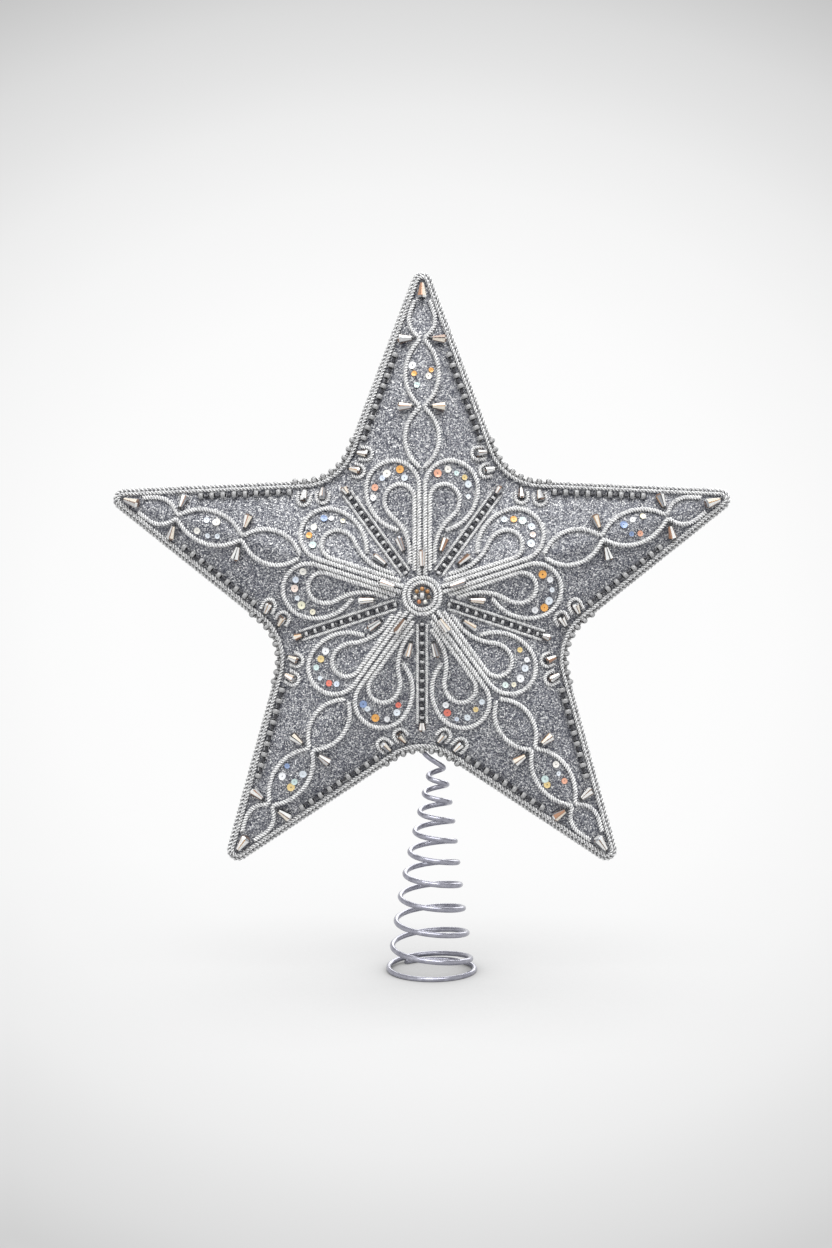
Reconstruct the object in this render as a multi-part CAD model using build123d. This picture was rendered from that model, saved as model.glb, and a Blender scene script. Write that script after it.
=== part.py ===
from build123d import *
import math
import os

# Tree topper: a padded five-pointed star of glitter cloth, couched with cord, beads and sequins,
# on a conical wire coil. Millimetres. The part stands on the coil's foot at z = 0, its front
# faces -Y, and X = 0 is the star's upright axis.
# The star is laid out flat first: x to the right, y up and z to the front, about its middle.

# Star outline, measured on the core board
ARMS = 5
TIP_RADIUS = 148.0
NOTCH_RADIUS = 62.3
TIP_ROUND = 2.2
NOTCH_ROUND = 25.5
STAR_HEIGHT = 170.0

# Layers, from the back to the front
BACK_THICK = 1.2
BACK_INSET = 1.0
CLOTH = 0.8
HEM_WIDTH = 8.0
BOARD_THICK = 3.0
RIM_RISE = 2.0
CROWN = 15.0
FIT = 0.05
SEAT = 0.06

# Coil spring and its stem
WIRE = 2.4
WIRE_FIT = 0.25
FOOT_FLAT = 0.5
COIL_OFFSET = 4.0
COIL_LEAN = 2.8
LEAN_TURNS = 7.5
COIL_TURNS = 9
TOP_COIL_RADIUS = 3.0
COIL_RADIUS_STEP = 1.7
TOP_COIL_HEIGHT = 92.0
TOP_PITCH = 7.3
PITCH_GROWTH = 0.52
TAIL_TURNS = 1.38
TAIL_TUCK = 4.4
TAIL_TUCK_TURNS = 0.3
STEM_LENGTH = 63.0
TAPE_WIDTH = 16.0
TAPE_THICK = 0.3

# Cords, by diameter
RIM_CORD = 2.0
BORDER_CORD = 1.6
PATTERN_CORD = 2.1
RIB_CORD = 1.4
LOOP_CORD = 1.8
ROSETTE_CORD = 2.0

# Chain of three loops along each arm's ridge
CHAIN_TIP_GAP = 10.8
CROSSING_FROM_TIP = 28.7
CROSSING_PITCH = 31.0
MIDDLE_LOOP_HALF = 7.5
LOWER_LOOP_HALF = 7.6
TIP_LOOP_RADIUS = 10.0
CROSSING_BEND = 1.6
CHAIN_CLEAR_OF_PETAL = 0.5

# Petals and teardrops beside the ridge: s runs out along the ridge, t runs across it
PETAL_ROOT = 9.2
PETAL_CENTRE = 49.0
PETAL_RADIUS = 12.2
PETAL_SIDE_RADIUS = 20.0
PETAL_SIDE_TURN = 70.0
PETAL_END_RADIUS = 8.0
PETAL_END_TURN = 14.0
TEARDROP_ROOT = 11.2
TEARDROP_CENTRE = 43.5
TEARDROP_RADIUS = 6.85
TEARDROP_SIDE_RADIUS = 10.0
TEARDROP_SIDE_TURN = 50.0
TEARDROP_TAIL = 5.4
TEARDROP_RUN = 4.3

# Ribs in the valleys, from the middle to the notches
RIB_START = 12.5
RIB_END = 58.5
RIB_HALF = 2.2
RIB_CLEAR_BEAD = 2.1
RIB_DARK_BEAD = 1.3
RIB_DARK_HALF = 0.8
RIB_BEAD_PITCH = 4.3

# Loops at the notches: place along the edge from the notch, depth from the edge, lean
NOTCH_LOOPS = ((16.4, 10.0, 12.0), (7.9, 9.4, 6.0))
LOOP_BEND = 2.8

# Beads
BORDER_BEAD = 3.1
BUGLE_LENGTH = 1.6
BUGLE_DIAMETER = 1.3
BORDER_PITCH = 5.0
BORDER_FROM_NOTCH = 22.6
NOTCH_BEAD = 2.8
NOTCH_BEAD_COUNT = 9
NOTCH_BEAD_PITCH = 4.3
ROSETTE_BEAD = 2.1
ROSETTE_BEAD_COUNT = 7
ROSETTE_BEAD_CIRCLE = 3.0
CENTRE_BEAD = 3.0
ROSETTE_RADIUS = 6.0

# Tapered cut-glass drops: length, width at the narrow end, width at the broad end
TIP_DROP = (8.0, 1.3, 4.4)
CROSSING_DROP = (7.3, 1.3, 4.0)
STEM_DROP = (8.2, 1.6, 3.0)
FLANK_DROP = (7.8, 1.5, 2.9)
NOTCH_DROP = (6.0, 1.3, 3.2)
RIB_DROP = (5.0, 1.2, 3.2)
DROP_SHOULDER = 0.8
DROP_END = 0.75
STEM_DROP_START = 11.6
FLANK_DROP_START = 19.0
FLANK_DROP_SIDE = 7.8
FLANK_DROP_TURN = 21.0
CROSSING_DROP_CLEAR = 0.35
TIP_DROP_CLEAR = 1.0

# Sequins: flat discs with a hole, along the crescent between petal and teardrop
SEQUIN = 4.0
SEQUIN_HOLE = 0.8
SEQUIN_THICK = 0.25
SEQUIN_CENTRE = (48.0, 13.0)
SEQUIN_CIRCLE = 8.7
SEQUIN_FIRST = -45.0
SEQUIN_STEP = 30.0
SEQUINS_PER_PETAL = 6
LOOP_SEQUIN_SIDE = 3.2
LOOP_SEQUIN_PLACES = ((-4.6, 0.0, 4.6), (-2.3, 2.3))
SEQUIN_COLOURS = (
    "pearl", "amber", "pearl", "blue", "coral",
    "pearl", "mint", "amber", "pearl", "blue",
)


# Outline of the star, grown by d from the board's edge
TURN = 360.0 / ARMS
HALF_TURN = math.radians(TURN / 2)
EDGE_RUN = TIP_RADIUS - NOTCH_RADIUS * math.cos(HALF_TURN)
EDGE_ANGLE = math.atan2(NOTCH_RADIUS * math.sin(HALF_TURN), EDGE_RUN)
NOTCH_ANGLE = HALF_TURN + EDGE_ANGLE
SHARPEST_ROUND = 0.4


def polar(radius, degrees):
    """A point of the flat star, with the angle taken clockwise from the top arm."""
    return (radius * math.sin(math.radians(degrees)), radius * math.cos(math.radians(degrees)))


def tip_corner(d):
    return TIP_RADIUS + d / math.sin(EDGE_ANGLE)


def notch_corner(d):
    return NOTCH_RADIUS + d / math.sin(NOTCH_ANGLE)


def star_wire(d):
    """The rounded outline, with tips and notches as arcs."""
    points = []
    radii = []
    for arm in range(ARMS):
        points.append(polar(tip_corner(d), arm * TURN))
        radii.append(max(TIP_ROUND + d, SHARPEST_ROUND))
        points.append(polar(notch_corner(d), (arm + 0.5) * TURN))
        radii.append(max(NOTCH_ROUND - d, SHARPEST_ROUND))
    return FilletPolyline(*points, radius=radii, close=True)


def star_slab(d, bottom, top):
    face = make_face(star_wire(d))
    return Pos(0, 0, bottom) * extrude(face, amount=top - bottom)


def notch_point(d, x):
    """A point of the outline near the top arm's right notch, x along it from the notch's middle."""
    bend = NOTCH_ROUND - d
    middle = notch_corner(d) + bend / math.sin(NOTCH_ANGLE)
    half = math.pi / 2 - NOTCH_ANGLE
    angle = max(-half, min(half, x / bend))
    rest = x - angle * bend
    along = middle - bend * math.cos(angle) + rest * math.sin(angle)
    across = bend * math.sin(angle) + rest * math.cos(angle)
    axis = math.radians(TURN / 2)
    x_flat = along * math.sin(axis) + across * math.cos(axis)
    y_flat = along * math.cos(axis) - across * math.sin(axis)
    return (x_flat, y_flat)


# Heights in the flat star, and the ten slanted facets of its crown
BOARD_FRONT = BOARD_THICK / 2
PAD_BASE = BOARD_FRONT + FIT
HEM_FRONT = -BOARD_FRONT - FIT
HEM_BACK = HEM_FRONT - CLOTH
CLOTH_EDGE = FIT + CLOTH
PEAK = Vector(0, 0, PAD_BASE + CROWN)
TIP = Vector(0, TIP_RADIUS, PAD_BASE + RIM_RISE)
NOTCH = Vector(*polar(-NOTCH_RADIUS, 180 - TURN / 2), PAD_BASE + RIM_RISE)
FACET_NORMAL = (TIP - PEAK).cross(NOTCH - PEAK).normalized()
UP_SHARE = FACET_NORMAL.Z
CLOTH_LIFT = (FIT + CLOTH) / UP_SHARE
FACET_REACH = 1.3


def crown_solid(d, lift):
    """The faceted crown over the outline grown by d, its facets raised by lift."""
    peak = PEAK + Vector(0, 0, lift)
    corners = []
    for arm in range(ARMS):
        at_arm = Rot(0, 0, -arm * TURN)
        for corner in (NOTCH, TIP):
            spot = PEAK + (corner - PEAK) * FACET_REACH + Vector(0, 0, lift)
            corners.append((at_arm * Pos(spot)).position)
    deep = min(spot.Z for spot in corners) - BOARD_THICK
    floor = [Vector(spot.X, spot.Y, deep) for spot in corners]
    faces = [Face(Wire.make_polygon(floor))]
    for here in range(len(corners)):
        after = (here + 1) % len(corners)
        faces.append(Face(Wire.make_polygon([peak, corners[here], corners[after]])))
        faces.append(Face(Wire.make_polygon([corners[here], floor[here], floor[after], corners[after]])))
    return Solid(Shell(faces)) & star_slab(d, PAD_BASE, PEAK.Z + lift + BOARD_THICK)


def cloth_height(x, y):
    """Height of the cloth's outer face over a point of the flat star."""
    angle = math.degrees(math.atan2(x, y)) % TURN
    angle = math.radians(min(angle, TURN - angle))
    radius = math.hypot(x, y)
    spot_x = -radius * math.sin(angle)
    spot_y = radius * math.cos(angle)
    fall = (FACET_NORMAL.X * spot_x + FACET_NORMAL.Y * spot_y) / UP_SHARE
    return PEAK.Z + CLOTH_LIFT - fall


# Planes that carry the trim: one facet, the ridge of the top arm and the valley beside it
CLOTH_PEAK = PEAK + Vector(0, 0, CLOTH_LIFT)
RIDGE_DIRECTION = (TIP - PEAK).normalized()
VALLEY_DIRECTION = (NOTCH - PEAK).normalized()
FACET = Plane(origin=CLOTH_PEAK, x_dir=RIDGE_DIRECTION, z_dir=FACET_NORMAL)
RIDGE = Plane(origin=CLOTH_PEAK, x_dir=RIDGE_DIRECTION, z_dir=RIDGE_DIRECTION.cross(Vector(-1, 0, 0)))
VALLEY_SIDE = Vector(0, 0, 1).cross(VALLEY_DIRECTION).normalized()
VALLEY = Plane(origin=CLOTH_PEAK, x_dir=VALLEY_DIRECTION, z_dir=VALLEY_DIRECTION.cross(VALLEY_SIDE))
VALLEY_RISE = VALLEY.z_dir.dot(FACET_NORMAL)
RIDGE_SLOPE = (CROWN - RIM_RISE) / TIP_RADIUS


def facet_spot(radius, degrees):
    """Place on the facet of a point of the flat star."""
    x, y = polar(radius, degrees)
    local = FACET.to_local_coords(Vector(x, y, cloth_height(x, y)))
    return Vector(local.X, local.Y)


EDGE_TIP = facet_spot(tip_corner(CLOTH_EDGE), 0)
EDGE_NOTCH = facet_spot(notch_corner(CLOTH_EDGE), -TURN / 2)
EDGE_DIRECTION = (EDGE_NOTCH - EDGE_TIP).normalized()
EDGE_OUT = Vector(-EDGE_DIRECTION.Y, EDGE_DIRECTION.X)
if EDGE_OUT.Y < 0:
    EDGE_OUT = EDGE_OUT * -1
VALLEY_ON_FACET = Vector(EDGE_NOTCH).normalized()
VALLEY_INWARD = Vector(VALLEY_ON_FACET.Y, -VALLEY_ON_FACET.X)
FACET_TILT = math.sqrt(1 - UP_SHARE ** 2) / UP_SHARE


def edge_spot(from_notch, depth):
    """Place on the facet, along the cloth's edge from the notch and inward from it."""
    return EDGE_NOTCH - EDGE_DIRECTION * from_notch - EDGE_OUT * depth


def beside_border(half):
    """Depth on the facet of a piece, half as wide as given, that lies against the border cord."""
    return (BORDER_CORD + half + 2 * SEAT) / UP_SHARE + (half + SEAT) * FACET_TILT


# Ways to make and to repeat the trim
def cord(path, diameter):
    start = Plane(origin=path @ 0, z_dir=path % 0)
    return sweep(start * Circle(diameter / 2), path=path)


def lay(solid, diameter):
    """Seat a cord that was drawn flat on the facet."""
    return FACET.location * Pos(0, 0, diameter / 2 + SEAT) * solid


def both_sides(solid):
    return [solid, mirror(solid, about=Plane.YZ)]


def on_arm(solids, arm):
    return [Rot(0, 0, -arm * TURN) * solid for solid in solids]


def on_all_arms(solids):
    return [copy for arm in range(ARMS) for copy in on_arm(solids, arm)]


def stand(solid):
    """Turn the flat star upright and lift it to its height."""
    return Pos(0, 0, STAR_HEIGHT) * Rot(90, 0, 0) * solid


def drop(size):
    """A six-sided tapered bead along +X, narrow end first, its widest flat on z = 0."""
    length, narrow, broad = size
    stations = (
        (0, narrow),
        (length - DROP_SHOULDER, broad),
        (length, broad * DROP_END),
    )
    sections = []
    for place, width in stations:
        across = Plane(origin=(place, 0, 0), x_dir=(0, 1, 0), z_dir=(1, 0, 0))
        sections.append(across * RegularPolygon(width / 2, 6, major_radius=False, rotation=0))
    return Pos(0, 0, broad / 2) * loft(sections, ruled=True)


def drop_on_facet(size, spot, degrees):
    place = Pos(spot.X, spot.Y, SEAT) * Rot(0, 0, degrees)
    return FACET.location * place * drop(size)


def bead_on_facet(diameter, spot):
    return FACET.location * Pos(spot.X, spot.Y, diameter / 2 + SEAT) * Sphere(diameter / 2)


# Structure of the star
def make_core_board():
    board = star_slab(0, -BOARD_FRONT, BOARD_FRONT)
    slot_width = WIRE + 2 * WIRE_FIT
    slot_foot = -notch_corner(CLOTH_EDGE) - NOTCH_ROUND
    slot_top = STEM_FOOT - STAR_HEIGHT + STEM_LENGTH + WIRE_FIT
    upward = (Align.CENTER, Align.MIN, Align.CENTER)
    slot = Box(slot_width, slot_top - slot_foot, 2 * BOARD_THICK, align=upward)
    return board - Pos(0, slot_foot, 0) * slot


def make_front_panel():
    outside = crown_solid(CLOTH_EDGE, CLOTH_LIFT) + star_slab(CLOTH_EDGE, HEM_BACK, PAD_BASE)
    inside = crown_solid(FIT, FIT / UP_SHARE) + star_slab(FIT, HEM_FRONT, PAD_BASE)
    opening = star_slab(-HEM_WIDTH, HEM_BACK - CLOTH, HEM_FRONT + FIT)
    bore = Cylinder(WIRE / 2 + WIRE_FIT, 2 * NOTCH_ROUND, rotation=(90, 0, 0))
    return outside - inside - opening - Pos(0, -notch_corner(CLOTH_EDGE), 0) * bore


def make_stem_tape():
    foot = STEM_FOOT - STAR_HEIGHT + 2 * HEM_WIDTH
    length = STEM_LENGTH - HEM_WIDTH
    tape = Box(TAPE_WIDTH, length, TAPE_THICK, align=(Align.CENTER, Align.MIN, Align.MAX))
    return Pos(0, foot, HEM_FRONT) * tape


# Cords
def make_rim_cord():
    height = cloth_height(*polar(notch_corner(CLOTH_EDGE), TURN / 2)) - RIM_CORD / 2
    return Pos(0, 0, height) * cord(star_wire(CLOTH_EDGE + SEAT + RIM_CORD / 2), RIM_CORD)


def make_border_cord():
    inset = CLOTH_EDGE - BORDER_CORD / 2
    path = star_wire(inset)
    highest = cloth_height(*polar(TIP_REACH - BORDER_CORD, 0))
    return Pos(0, 0, highest + BORDER_CORD / 2 / UP_SHARE + SEAT) * cord(path, BORDER_CORD)


TIP_REACH = tip_corner(CLOTH_EDGE) - (TIP_ROUND + CLOTH_EDGE) * (1 / math.sin(EDGE_ANGLE) - 1)
CROSSINGS = (TIP_REACH - CROSSING_FROM_TIP, TIP_REACH - CROSSING_FROM_TIP - CROSSING_PITCH)
CHAIN_SIDE = PATTERN_CORD / 2 + SEAT
PETAL_SIDE = CHAIN_SIDE
TEARDROP_SIDE = PETAL_SIDE + PATTERN_CORD + SEAT
CHAIN_FOOT_REACH = PETAL_RADIUS + PATTERN_CORD + CHAIN_CLEAR_OF_PETAL
CHAIN_FOOT = PETAL_CENTRE + math.sqrt(CHAIN_FOOT_REACH ** 2 - PETAL_RADIUS ** 2)


def arc_about(centre, radius, start, end):
    """An arc between two points of a circle, the short way round."""
    half = ((start - centre).normalized() + (end - centre).normalized()).normalized()
    return ThreePointArc(start, centre + half * radius, end)


def loop_centre(upper, lower, half_width):
    """Centre and radius of a loop's side, between two crossing bends that it runs into smoothly."""
    reach = (upper - lower) / 2
    rise = CHAIN_SIDE + CROSSING_BEND - half_width
    radius = (reach ** 2 + rise ** 2 - CROSSING_BEND ** 2) / (2 * (half_width - CHAIN_SIDE))
    return Vector((upper + lower) / 2, half_width - radius), radius


def make_chain_cord():
    bends = [Vector(s, CHAIN_SIDE + CROSSING_BEND) for s in (*CROSSINGS, CHAIN_FOOT)]
    line_level = EDGE_OUT.dot(EDGE_TIP) - beside_border(PATTERN_CORD / 2)
    gap = line_level - TIP_LOOP_RADIUS - EDGE_OUT.dot(bends[0])
    slide = math.sqrt((TIP_LOOP_RADIUS + CROSSING_BEND) ** 2 - gap ** 2)
    centres = [bends[0] + EDGE_OUT * gap - EDGE_DIRECTION * slide]
    radii = [TIP_LOOP_RADIUS]
    for upper, lower, half in ((0, 1, MIDDLE_LOOP_HALF), (1, 2, LOWER_LOOP_HALF)):
        centre, radius = loop_centre(bends[upper].X, bends[lower].X, half)
        centres.append(centre)
        radii.append(radius)
    leave = centres[0] + EDGE_OUT * TIP_LOOP_RADIUS
    run = max((TIP_REACH - CHAIN_TIP_GAP - leave.X) / -EDGE_DIRECTION.X, PATTERN_CORD)
    edges = [Line(leave - EDGE_DIRECTION * run, leave)]
    here = leave
    for loop, bend in enumerate(bends):
        touch = bend + (centres[loop] - bend).normalized() * CROSSING_BEND
        edges.append(arc_about(centres[loop], radii[loop], here, touch))
        last = loop == len(bends) - 1
        if last:
            here = bend + Vector(0, -CROSSING_BEND)
        else:
            here = bend + (centres[loop + 1] - bend).normalized() * CROSSING_BEND
        edges.append(arc_about(bend, CROSSING_BEND, touch, here))
    return lay(cord(Wire(edges), PATTERN_CORD), PATTERN_CORD)


def turned(degrees):
    return Vector(math.cos(math.radians(degrees)), math.sin(math.radians(degrees)))


def make_petal_cord():
    stem = Line((PETAL_ROOT, PETAL_SIDE), (PETAL_CENTRE, PETAL_SIDE))
    head = JernArc(stem @ 1, stem % 1, PETAL_RADIUS, 180)
    side = JernArc(head @ 1, head % 1, PETAL_SIDE_RADIUS, PETAL_SIDE_TURN)
    end = JernArc(side @ 1, side % 1, PETAL_END_RADIUS, -PETAL_END_TURN)
    return lay(cord(Wire([stem, head, side, end]), PATTERN_CORD), PATTERN_CORD)


def make_teardrop_cord():
    stem = Line((TEARDROP_ROOT, TEARDROP_SIDE), (TEARDROP_CENTRE, TEARDROP_SIDE))
    head = JernArc(stem @ 1, stem % 1, TEARDROP_RADIUS, 180)
    side = JernArc(head @ 1, head % 1, TEARDROP_SIDE_RADIUS, TEARDROP_SIDE_TURN)
    fall = (side @ 1).Y - TEARDROP_TAIL
    bend = fall / (1 - math.cos(math.radians(TEARDROP_SIDE_TURN)))
    tail = JernArc(side @ 1, side % 1, bend, -TEARDROP_SIDE_TURN)
    end = Line(tail @ 1, tail @ 1 - Vector(TEARDROP_RUN, 0))
    return lay(cord(Wire([stem, head, side, tail, end]), PATTERN_CORD), PATTERN_CORD)


def make_rib_cord():
    start = VALLEY_ON_FACET * RIB_START + VALLEY_INWARD * RIB_HALF
    end = VALLEY_ON_FACET * RIB_END + VALLEY_INWARD * RIB_HALF
    return lay(cord(Wire([Line(start, end)]), RIB_CORD), RIB_CORD)


def loop_frame(from_notch, depth, lean):
    """Middle of a notch loop's round end, and the way from there to the edge."""
    outward = turned(math.degrees(math.atan2(EDGE_OUT.Y, EDGE_OUT.X)) + lean)
    return edge_spot(from_notch, depth - LOOP_BEND), outward


def make_notch_loop(from_notch, depth, lean):
    middle, outward = loop_frame(from_notch, depth, lean)
    across = Vector(-outward.Y, outward.X) * LOOP_BEND
    run = (depth - LOOP_BEND - beside_border(LOOP_CORD)) / outward.dot(EDGE_OUT)
    first = Line(middle + across + outward * run, middle + across)
    bend = ThreePointArc(middle + across, middle - outward * LOOP_BEND, middle - across)
    second = Line(middle - across, middle - across + outward * run)
    return lay(cord(Wire([first, bend, second]), LOOP_CORD), LOOP_CORD)


def make_rosette_rings():
    rings = []
    for ring in range(2):
        radius = ROSETTE_RADIUS + ring * (ROSETTE_CORD + SEAT)
        height = CLOTH_PEAK.Z - RIDGE_SLOPE * (radius - ROSETTE_CORD / 2) + ROSETTE_CORD / 2 + SEAT
        rings.append(Pos(0, 0, height) * Torus(radius, ROSETTE_CORD / 2))
    return rings


# Beads and drops
def border_count():
    """Clear beads in a border row, from the notch loops to the upper crossing's drop."""
    end = CROSSINGS[0] - CROSSING_DROP[2] / 2 - BORDER_BEAD
    start = edge_spot(BORDER_FROM_NOTCH, 0).X
    return int((end - start) / (-EDGE_DIRECTION.X * BORDER_PITCH)) + 1


def make_border_clear_beads():
    depth = beside_border(BORDER_BEAD / 2)
    spots = [edge_spot(BORDER_FROM_NOTCH + n * BORDER_PITCH, depth) for n in range(border_count())]
    return [bead_on_facet(BORDER_BEAD, spot) for spot in spots]


def make_border_dark_beads():
    depth = beside_border(BORDER_BEAD / 2)
    angle = math.degrees(math.atan2(EDGE_DIRECTION.Y, EDGE_DIRECTION.X))
    bugle = Cylinder(BUGLE_DIAMETER / 2, BUGLE_LENGTH, rotation=(0, 90, 0))
    beads = []
    for n in range(border_count() - 1):
        spot = edge_spot(BORDER_FROM_NOTCH + (n + 0.5) * BORDER_PITCH, depth)
        place = Pos(spot.X, spot.Y, BUGLE_DIAMETER / 2 + SEAT) * Rot(0, 0, angle)
        beads.append(FACET.location * place * bugle)
    return beads


def rib_places():
    count = int((RIB_END - RIB_START) / RIB_BEAD_PITCH) + 1
    return [RIB_START + n * RIB_BEAD_PITCH for n in range(count)]


def make_rib_clear_beads():
    height = RIB_CLEAR_BEAD / 2 / VALLEY_RISE + SEAT
    return [VALLEY.location * Pos(r, 0, height) * Sphere(RIB_CLEAR_BEAD / 2) for r in rib_places()]


def make_rib_dark_beads():
    beside = VALLEY_INWARD * RIB_DARK_HALF
    spots = [VALLEY_ON_FACET * (r + RIB_BEAD_PITCH / 2) + beside for r in rib_places()[:-1]]
    return [bead_on_facet(RIB_DARK_BEAD, spot) for spot in spots]


def make_rib_end_drop():
    flat_half = RIB_DROP[2] / 2 * math.tan(math.pi / 6)
    lift = (flat_half * math.sqrt(1 - VALLEY_RISE ** 2) + SEAT) / VALLEY_RISE
    start = rib_places()[-1] + RIB_CLEAR_BEAD / 2 + SEAT
    return VALLEY.location * Pos(start, 0, lift) * drop(RIB_DROP)


def make_tip_drop():
    place = Pos(TIP_REACH - BORDER_CORD - TIP_DROP_CLEAR, 0, SEAT) * Rot(0, 0, 180)
    return RIDGE.location * place * drop(TIP_DROP)


def make_crossing_drops():
    start = CHAIN_SIDE + CROSSING_BEND + CROSSING_DROP_CLEAR
    return [drop_on_facet(CROSSING_DROP, Vector(s, start), 90) for s in CROSSINGS]


def make_stem_drop():
    height = PATTERN_CORD + 2 * SEAT
    return RIDGE.location * Pos(STEM_DROP_START, 0, height) * drop(STEM_DROP)


def make_flank_drop():
    return drop_on_facet(FLANK_DROP, Vector(FLANK_DROP_START, FLANK_DROP_SIDE), FLANK_DROP_TURN)


def make_notch_drops():
    drops = []
    for loop in NOTCH_LOOPS:
        middle, outward = loop_frame(*loop)
        angle = math.degrees(math.atan2(outward.Y, outward.X)) + 180
        start = middle + outward * (NOTCH_DROP[0] - LOOP_BEND + LOOP_CORD)
        drops.append(drop_on_facet(NOTCH_DROP, start, angle))
    return drops


def make_notch_seed_beads():
    """Beads in the groove between the rim cord and the border cord."""
    d = CLOTH_EDGE + NOTCH_BEAD / 2 + SEAT
    aside = d - CLOTH_EDGE - SEAT - RIM_CORD / 2
    rise = math.sqrt(((RIM_CORD + NOTCH_BEAD) / 2 + SEAT) ** 2 - aside ** 2)
    height = cloth_height(*polar(notch_corner(CLOTH_EDGE), TURN / 2)) - RIM_CORD / 2 + rise
    beads = []
    for n in range(NOTCH_BEAD_COUNT):
        x = (n - (NOTCH_BEAD_COUNT - 1) / 2) * NOTCH_BEAD_PITCH
        beads.append(Pos(*notch_point(d, x), height) * Sphere(NOTCH_BEAD / 2))
    return beads


def make_rosette_beads():
    height = CLOTH_PEAK.Z - RIDGE_SLOPE * (ROSETTE_BEAD_CIRCLE - ROSETTE_BEAD / 2) + ROSETTE_BEAD / 2 + SEAT
    spots = [polar(ROSETTE_BEAD_CIRCLE, n * 360 / ROSETTE_BEAD_COUNT) for n in range(ROSETTE_BEAD_COUNT)]
    return [Pos(x, y, height) * Sphere(ROSETTE_BEAD / 2) for x, y in spots]


def make_sequins():
    """Sequins by colour: an arc of them in each petal and a few in each middle loop."""
    disc = Cylinder(SEQUIN / 2, SEQUIN_THICK) - Cylinder(SEQUIN_HOLE / 2, 2 * SEQUIN_THICK)
    petal_spots = []
    for n in range(SEQUINS_PER_PETAL):
        petal_spots.append(Vector(*SEQUIN_CENTRE) + turned(SEQUIN_FIRST + n * SEQUIN_STEP) * SEQUIN_CIRCLE)
    loop_middle = (CROSSINGS[0] + CROSSINGS[1]) / 2
    groups = {}
    for arm in range(ARMS):
        for side in (0, 1):
            loop_spots = [Vector(loop_middle + along, LOOP_SEQUIN_SIDE) for along in LOOP_SEQUIN_PLACES[side]]
            for n, spot in enumerate(petal_spots + loop_spots):
                colour = SEQUIN_COLOURS[(n + 3 * arm + 4 * side) % len(SEQUIN_COLOURS)]
                placed = FACET.location * Pos(spot.X, spot.Y, SEQUIN_THICK / 2 + SEAT) * disc
                placed = both_sides(placed)[side]
                groups.setdefault(colour, []).extend(on_arm([placed], arm))
    return groups


# Coil spring: turns are counted down from the top, and a whole turn ends at the right (+X)
STEM_FOOT = STAR_HEIGHT - notch_corner(CLOTH_EDGE) - NOTCH_ROUND * (1 / math.sin(NOTCH_ANGLE) - 1)
FOOT_LEVEL = WIRE / 2 - FOOT_FLAT
COIL_STEPS_PER_TURN = 4
SELF_GAP_STEPS = 48
TANGENT_STEP = 0.001
COIL_BENDS = []


def coil_height(turn):
    if turn <= COIL_TURNS:
        return TOP_COIL_HEIGHT - TOP_PITCH * turn - PITCH_GROWTH / 2 * turn ** 2
    last = TOP_COIL_HEIGHT - TOP_PITCH * COIL_TURNS - PITCH_GROWTH / 2 * COIL_TURNS ** 2
    fall = last - FOOT_LEVEL
    run = 2 * fall / (TOP_PITCH + PITCH_GROWTH * COIL_TURNS)
    left = max(0.0, 1 - (turn - COIL_TURNS) / run)
    return FOOT_LEVEL + fall * left ** 2


def coil_radius(turn):
    radius = TOP_COIL_RADIUS + COIL_RADIUS_STEP * min(turn, COIL_TURNS + 1)
    share = min(max((turn - COIL_TURNS - 1) / TAIL_TUCK_TURNS, 0), 1)
    return radius - TAIL_TUCK * share ** 2 * (3 - 2 * share)


def coil_point(turn):
    angle = 2 * math.pi * turn
    radius = coil_radius(turn)
    lean = COIL_LEAN * (1 - min(turn / LEAN_TURNS, 1) ** 2) ** 2
    x = COIL_OFFSET + lean + radius * math.cos(angle)
    return Vector(x, radius * math.sin(angle), coil_height(turn))


def coil_tangent(turn):
    return (coil_point(turn - TANGENT_STEP) - coil_point(turn + TANGENT_STEP)).normalized()


def biarc(start, start_way, end, end_way):
    """Two arcs that leave start and reach end along the given ways."""
    span = end - start
    ways = start_way + end_way
    spread = 2 * (1 - start_way.dot(end_way))
    reach = (-span.dot(ways) + math.sqrt(span.dot(ways) ** 2 + spread * span.dot(span))) / spread
    first = start + start_way * reach
    second = end - end_way * reach
    middle = (first + second) * 0.5
    middle_way = (second - first).normalized()
    for way in (start_way, end_way):
        bend = reach / math.tan(math.acos(min(1.0, way.dot(middle_way))) / 2)
        COIL_BENDS.append(bend)
    return [TangentArc(start, middle, tangent=start_way), TangentArc(middle, end, tangent=middle_way)]


def coil_path():
    last = COIL_TURNS + TAIL_TURNS
    count = math.ceil(last * COIL_STEPS_PER_TURN)
    turns = [last - n * last / count for n in range(count + 1)]
    edges = []
    for here, after in zip(turns, turns[1:]):
        edges += biarc(coil_point(here), coil_tangent(here), coil_point(after), coil_tangent(after))
    stem_foot = Vector(0, 0, STEM_FOOT)
    edges += biarc(coil_point(0), coil_tangent(0), stem_foot, Vector(0, 0, 1))
    edges.append(Line(stem_foot, stem_foot + Vector(0, 0, STEM_LENGTH)))
    return Wire(edges)


def least_self_gap():
    """Smallest clear space between two turns of the wire, from points along it."""
    last = COIL_TURNS + TAIL_TURNS
    count = int(last * SELF_GAP_STEPS)
    points = [coil_point(n * last / count) for n in range(count + 1)]
    apart = SELF_GAP_STEPS // 2
    pairs = [(a, b) for a in range(len(points)) for b in range(a + apart, len(points))]
    return min((points[a] - points[b]).length for a, b in pairs) - WIRE


def make_coil_spring():
    wire = cord(coil_path(), WIRE)
    below = Box(4 * NOTCH_RADIUS, 4 * NOTCH_RADIUS, WIRE, align=(Align.CENTER, Align.CENTER, Align.MAX))
    return wire - below


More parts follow.
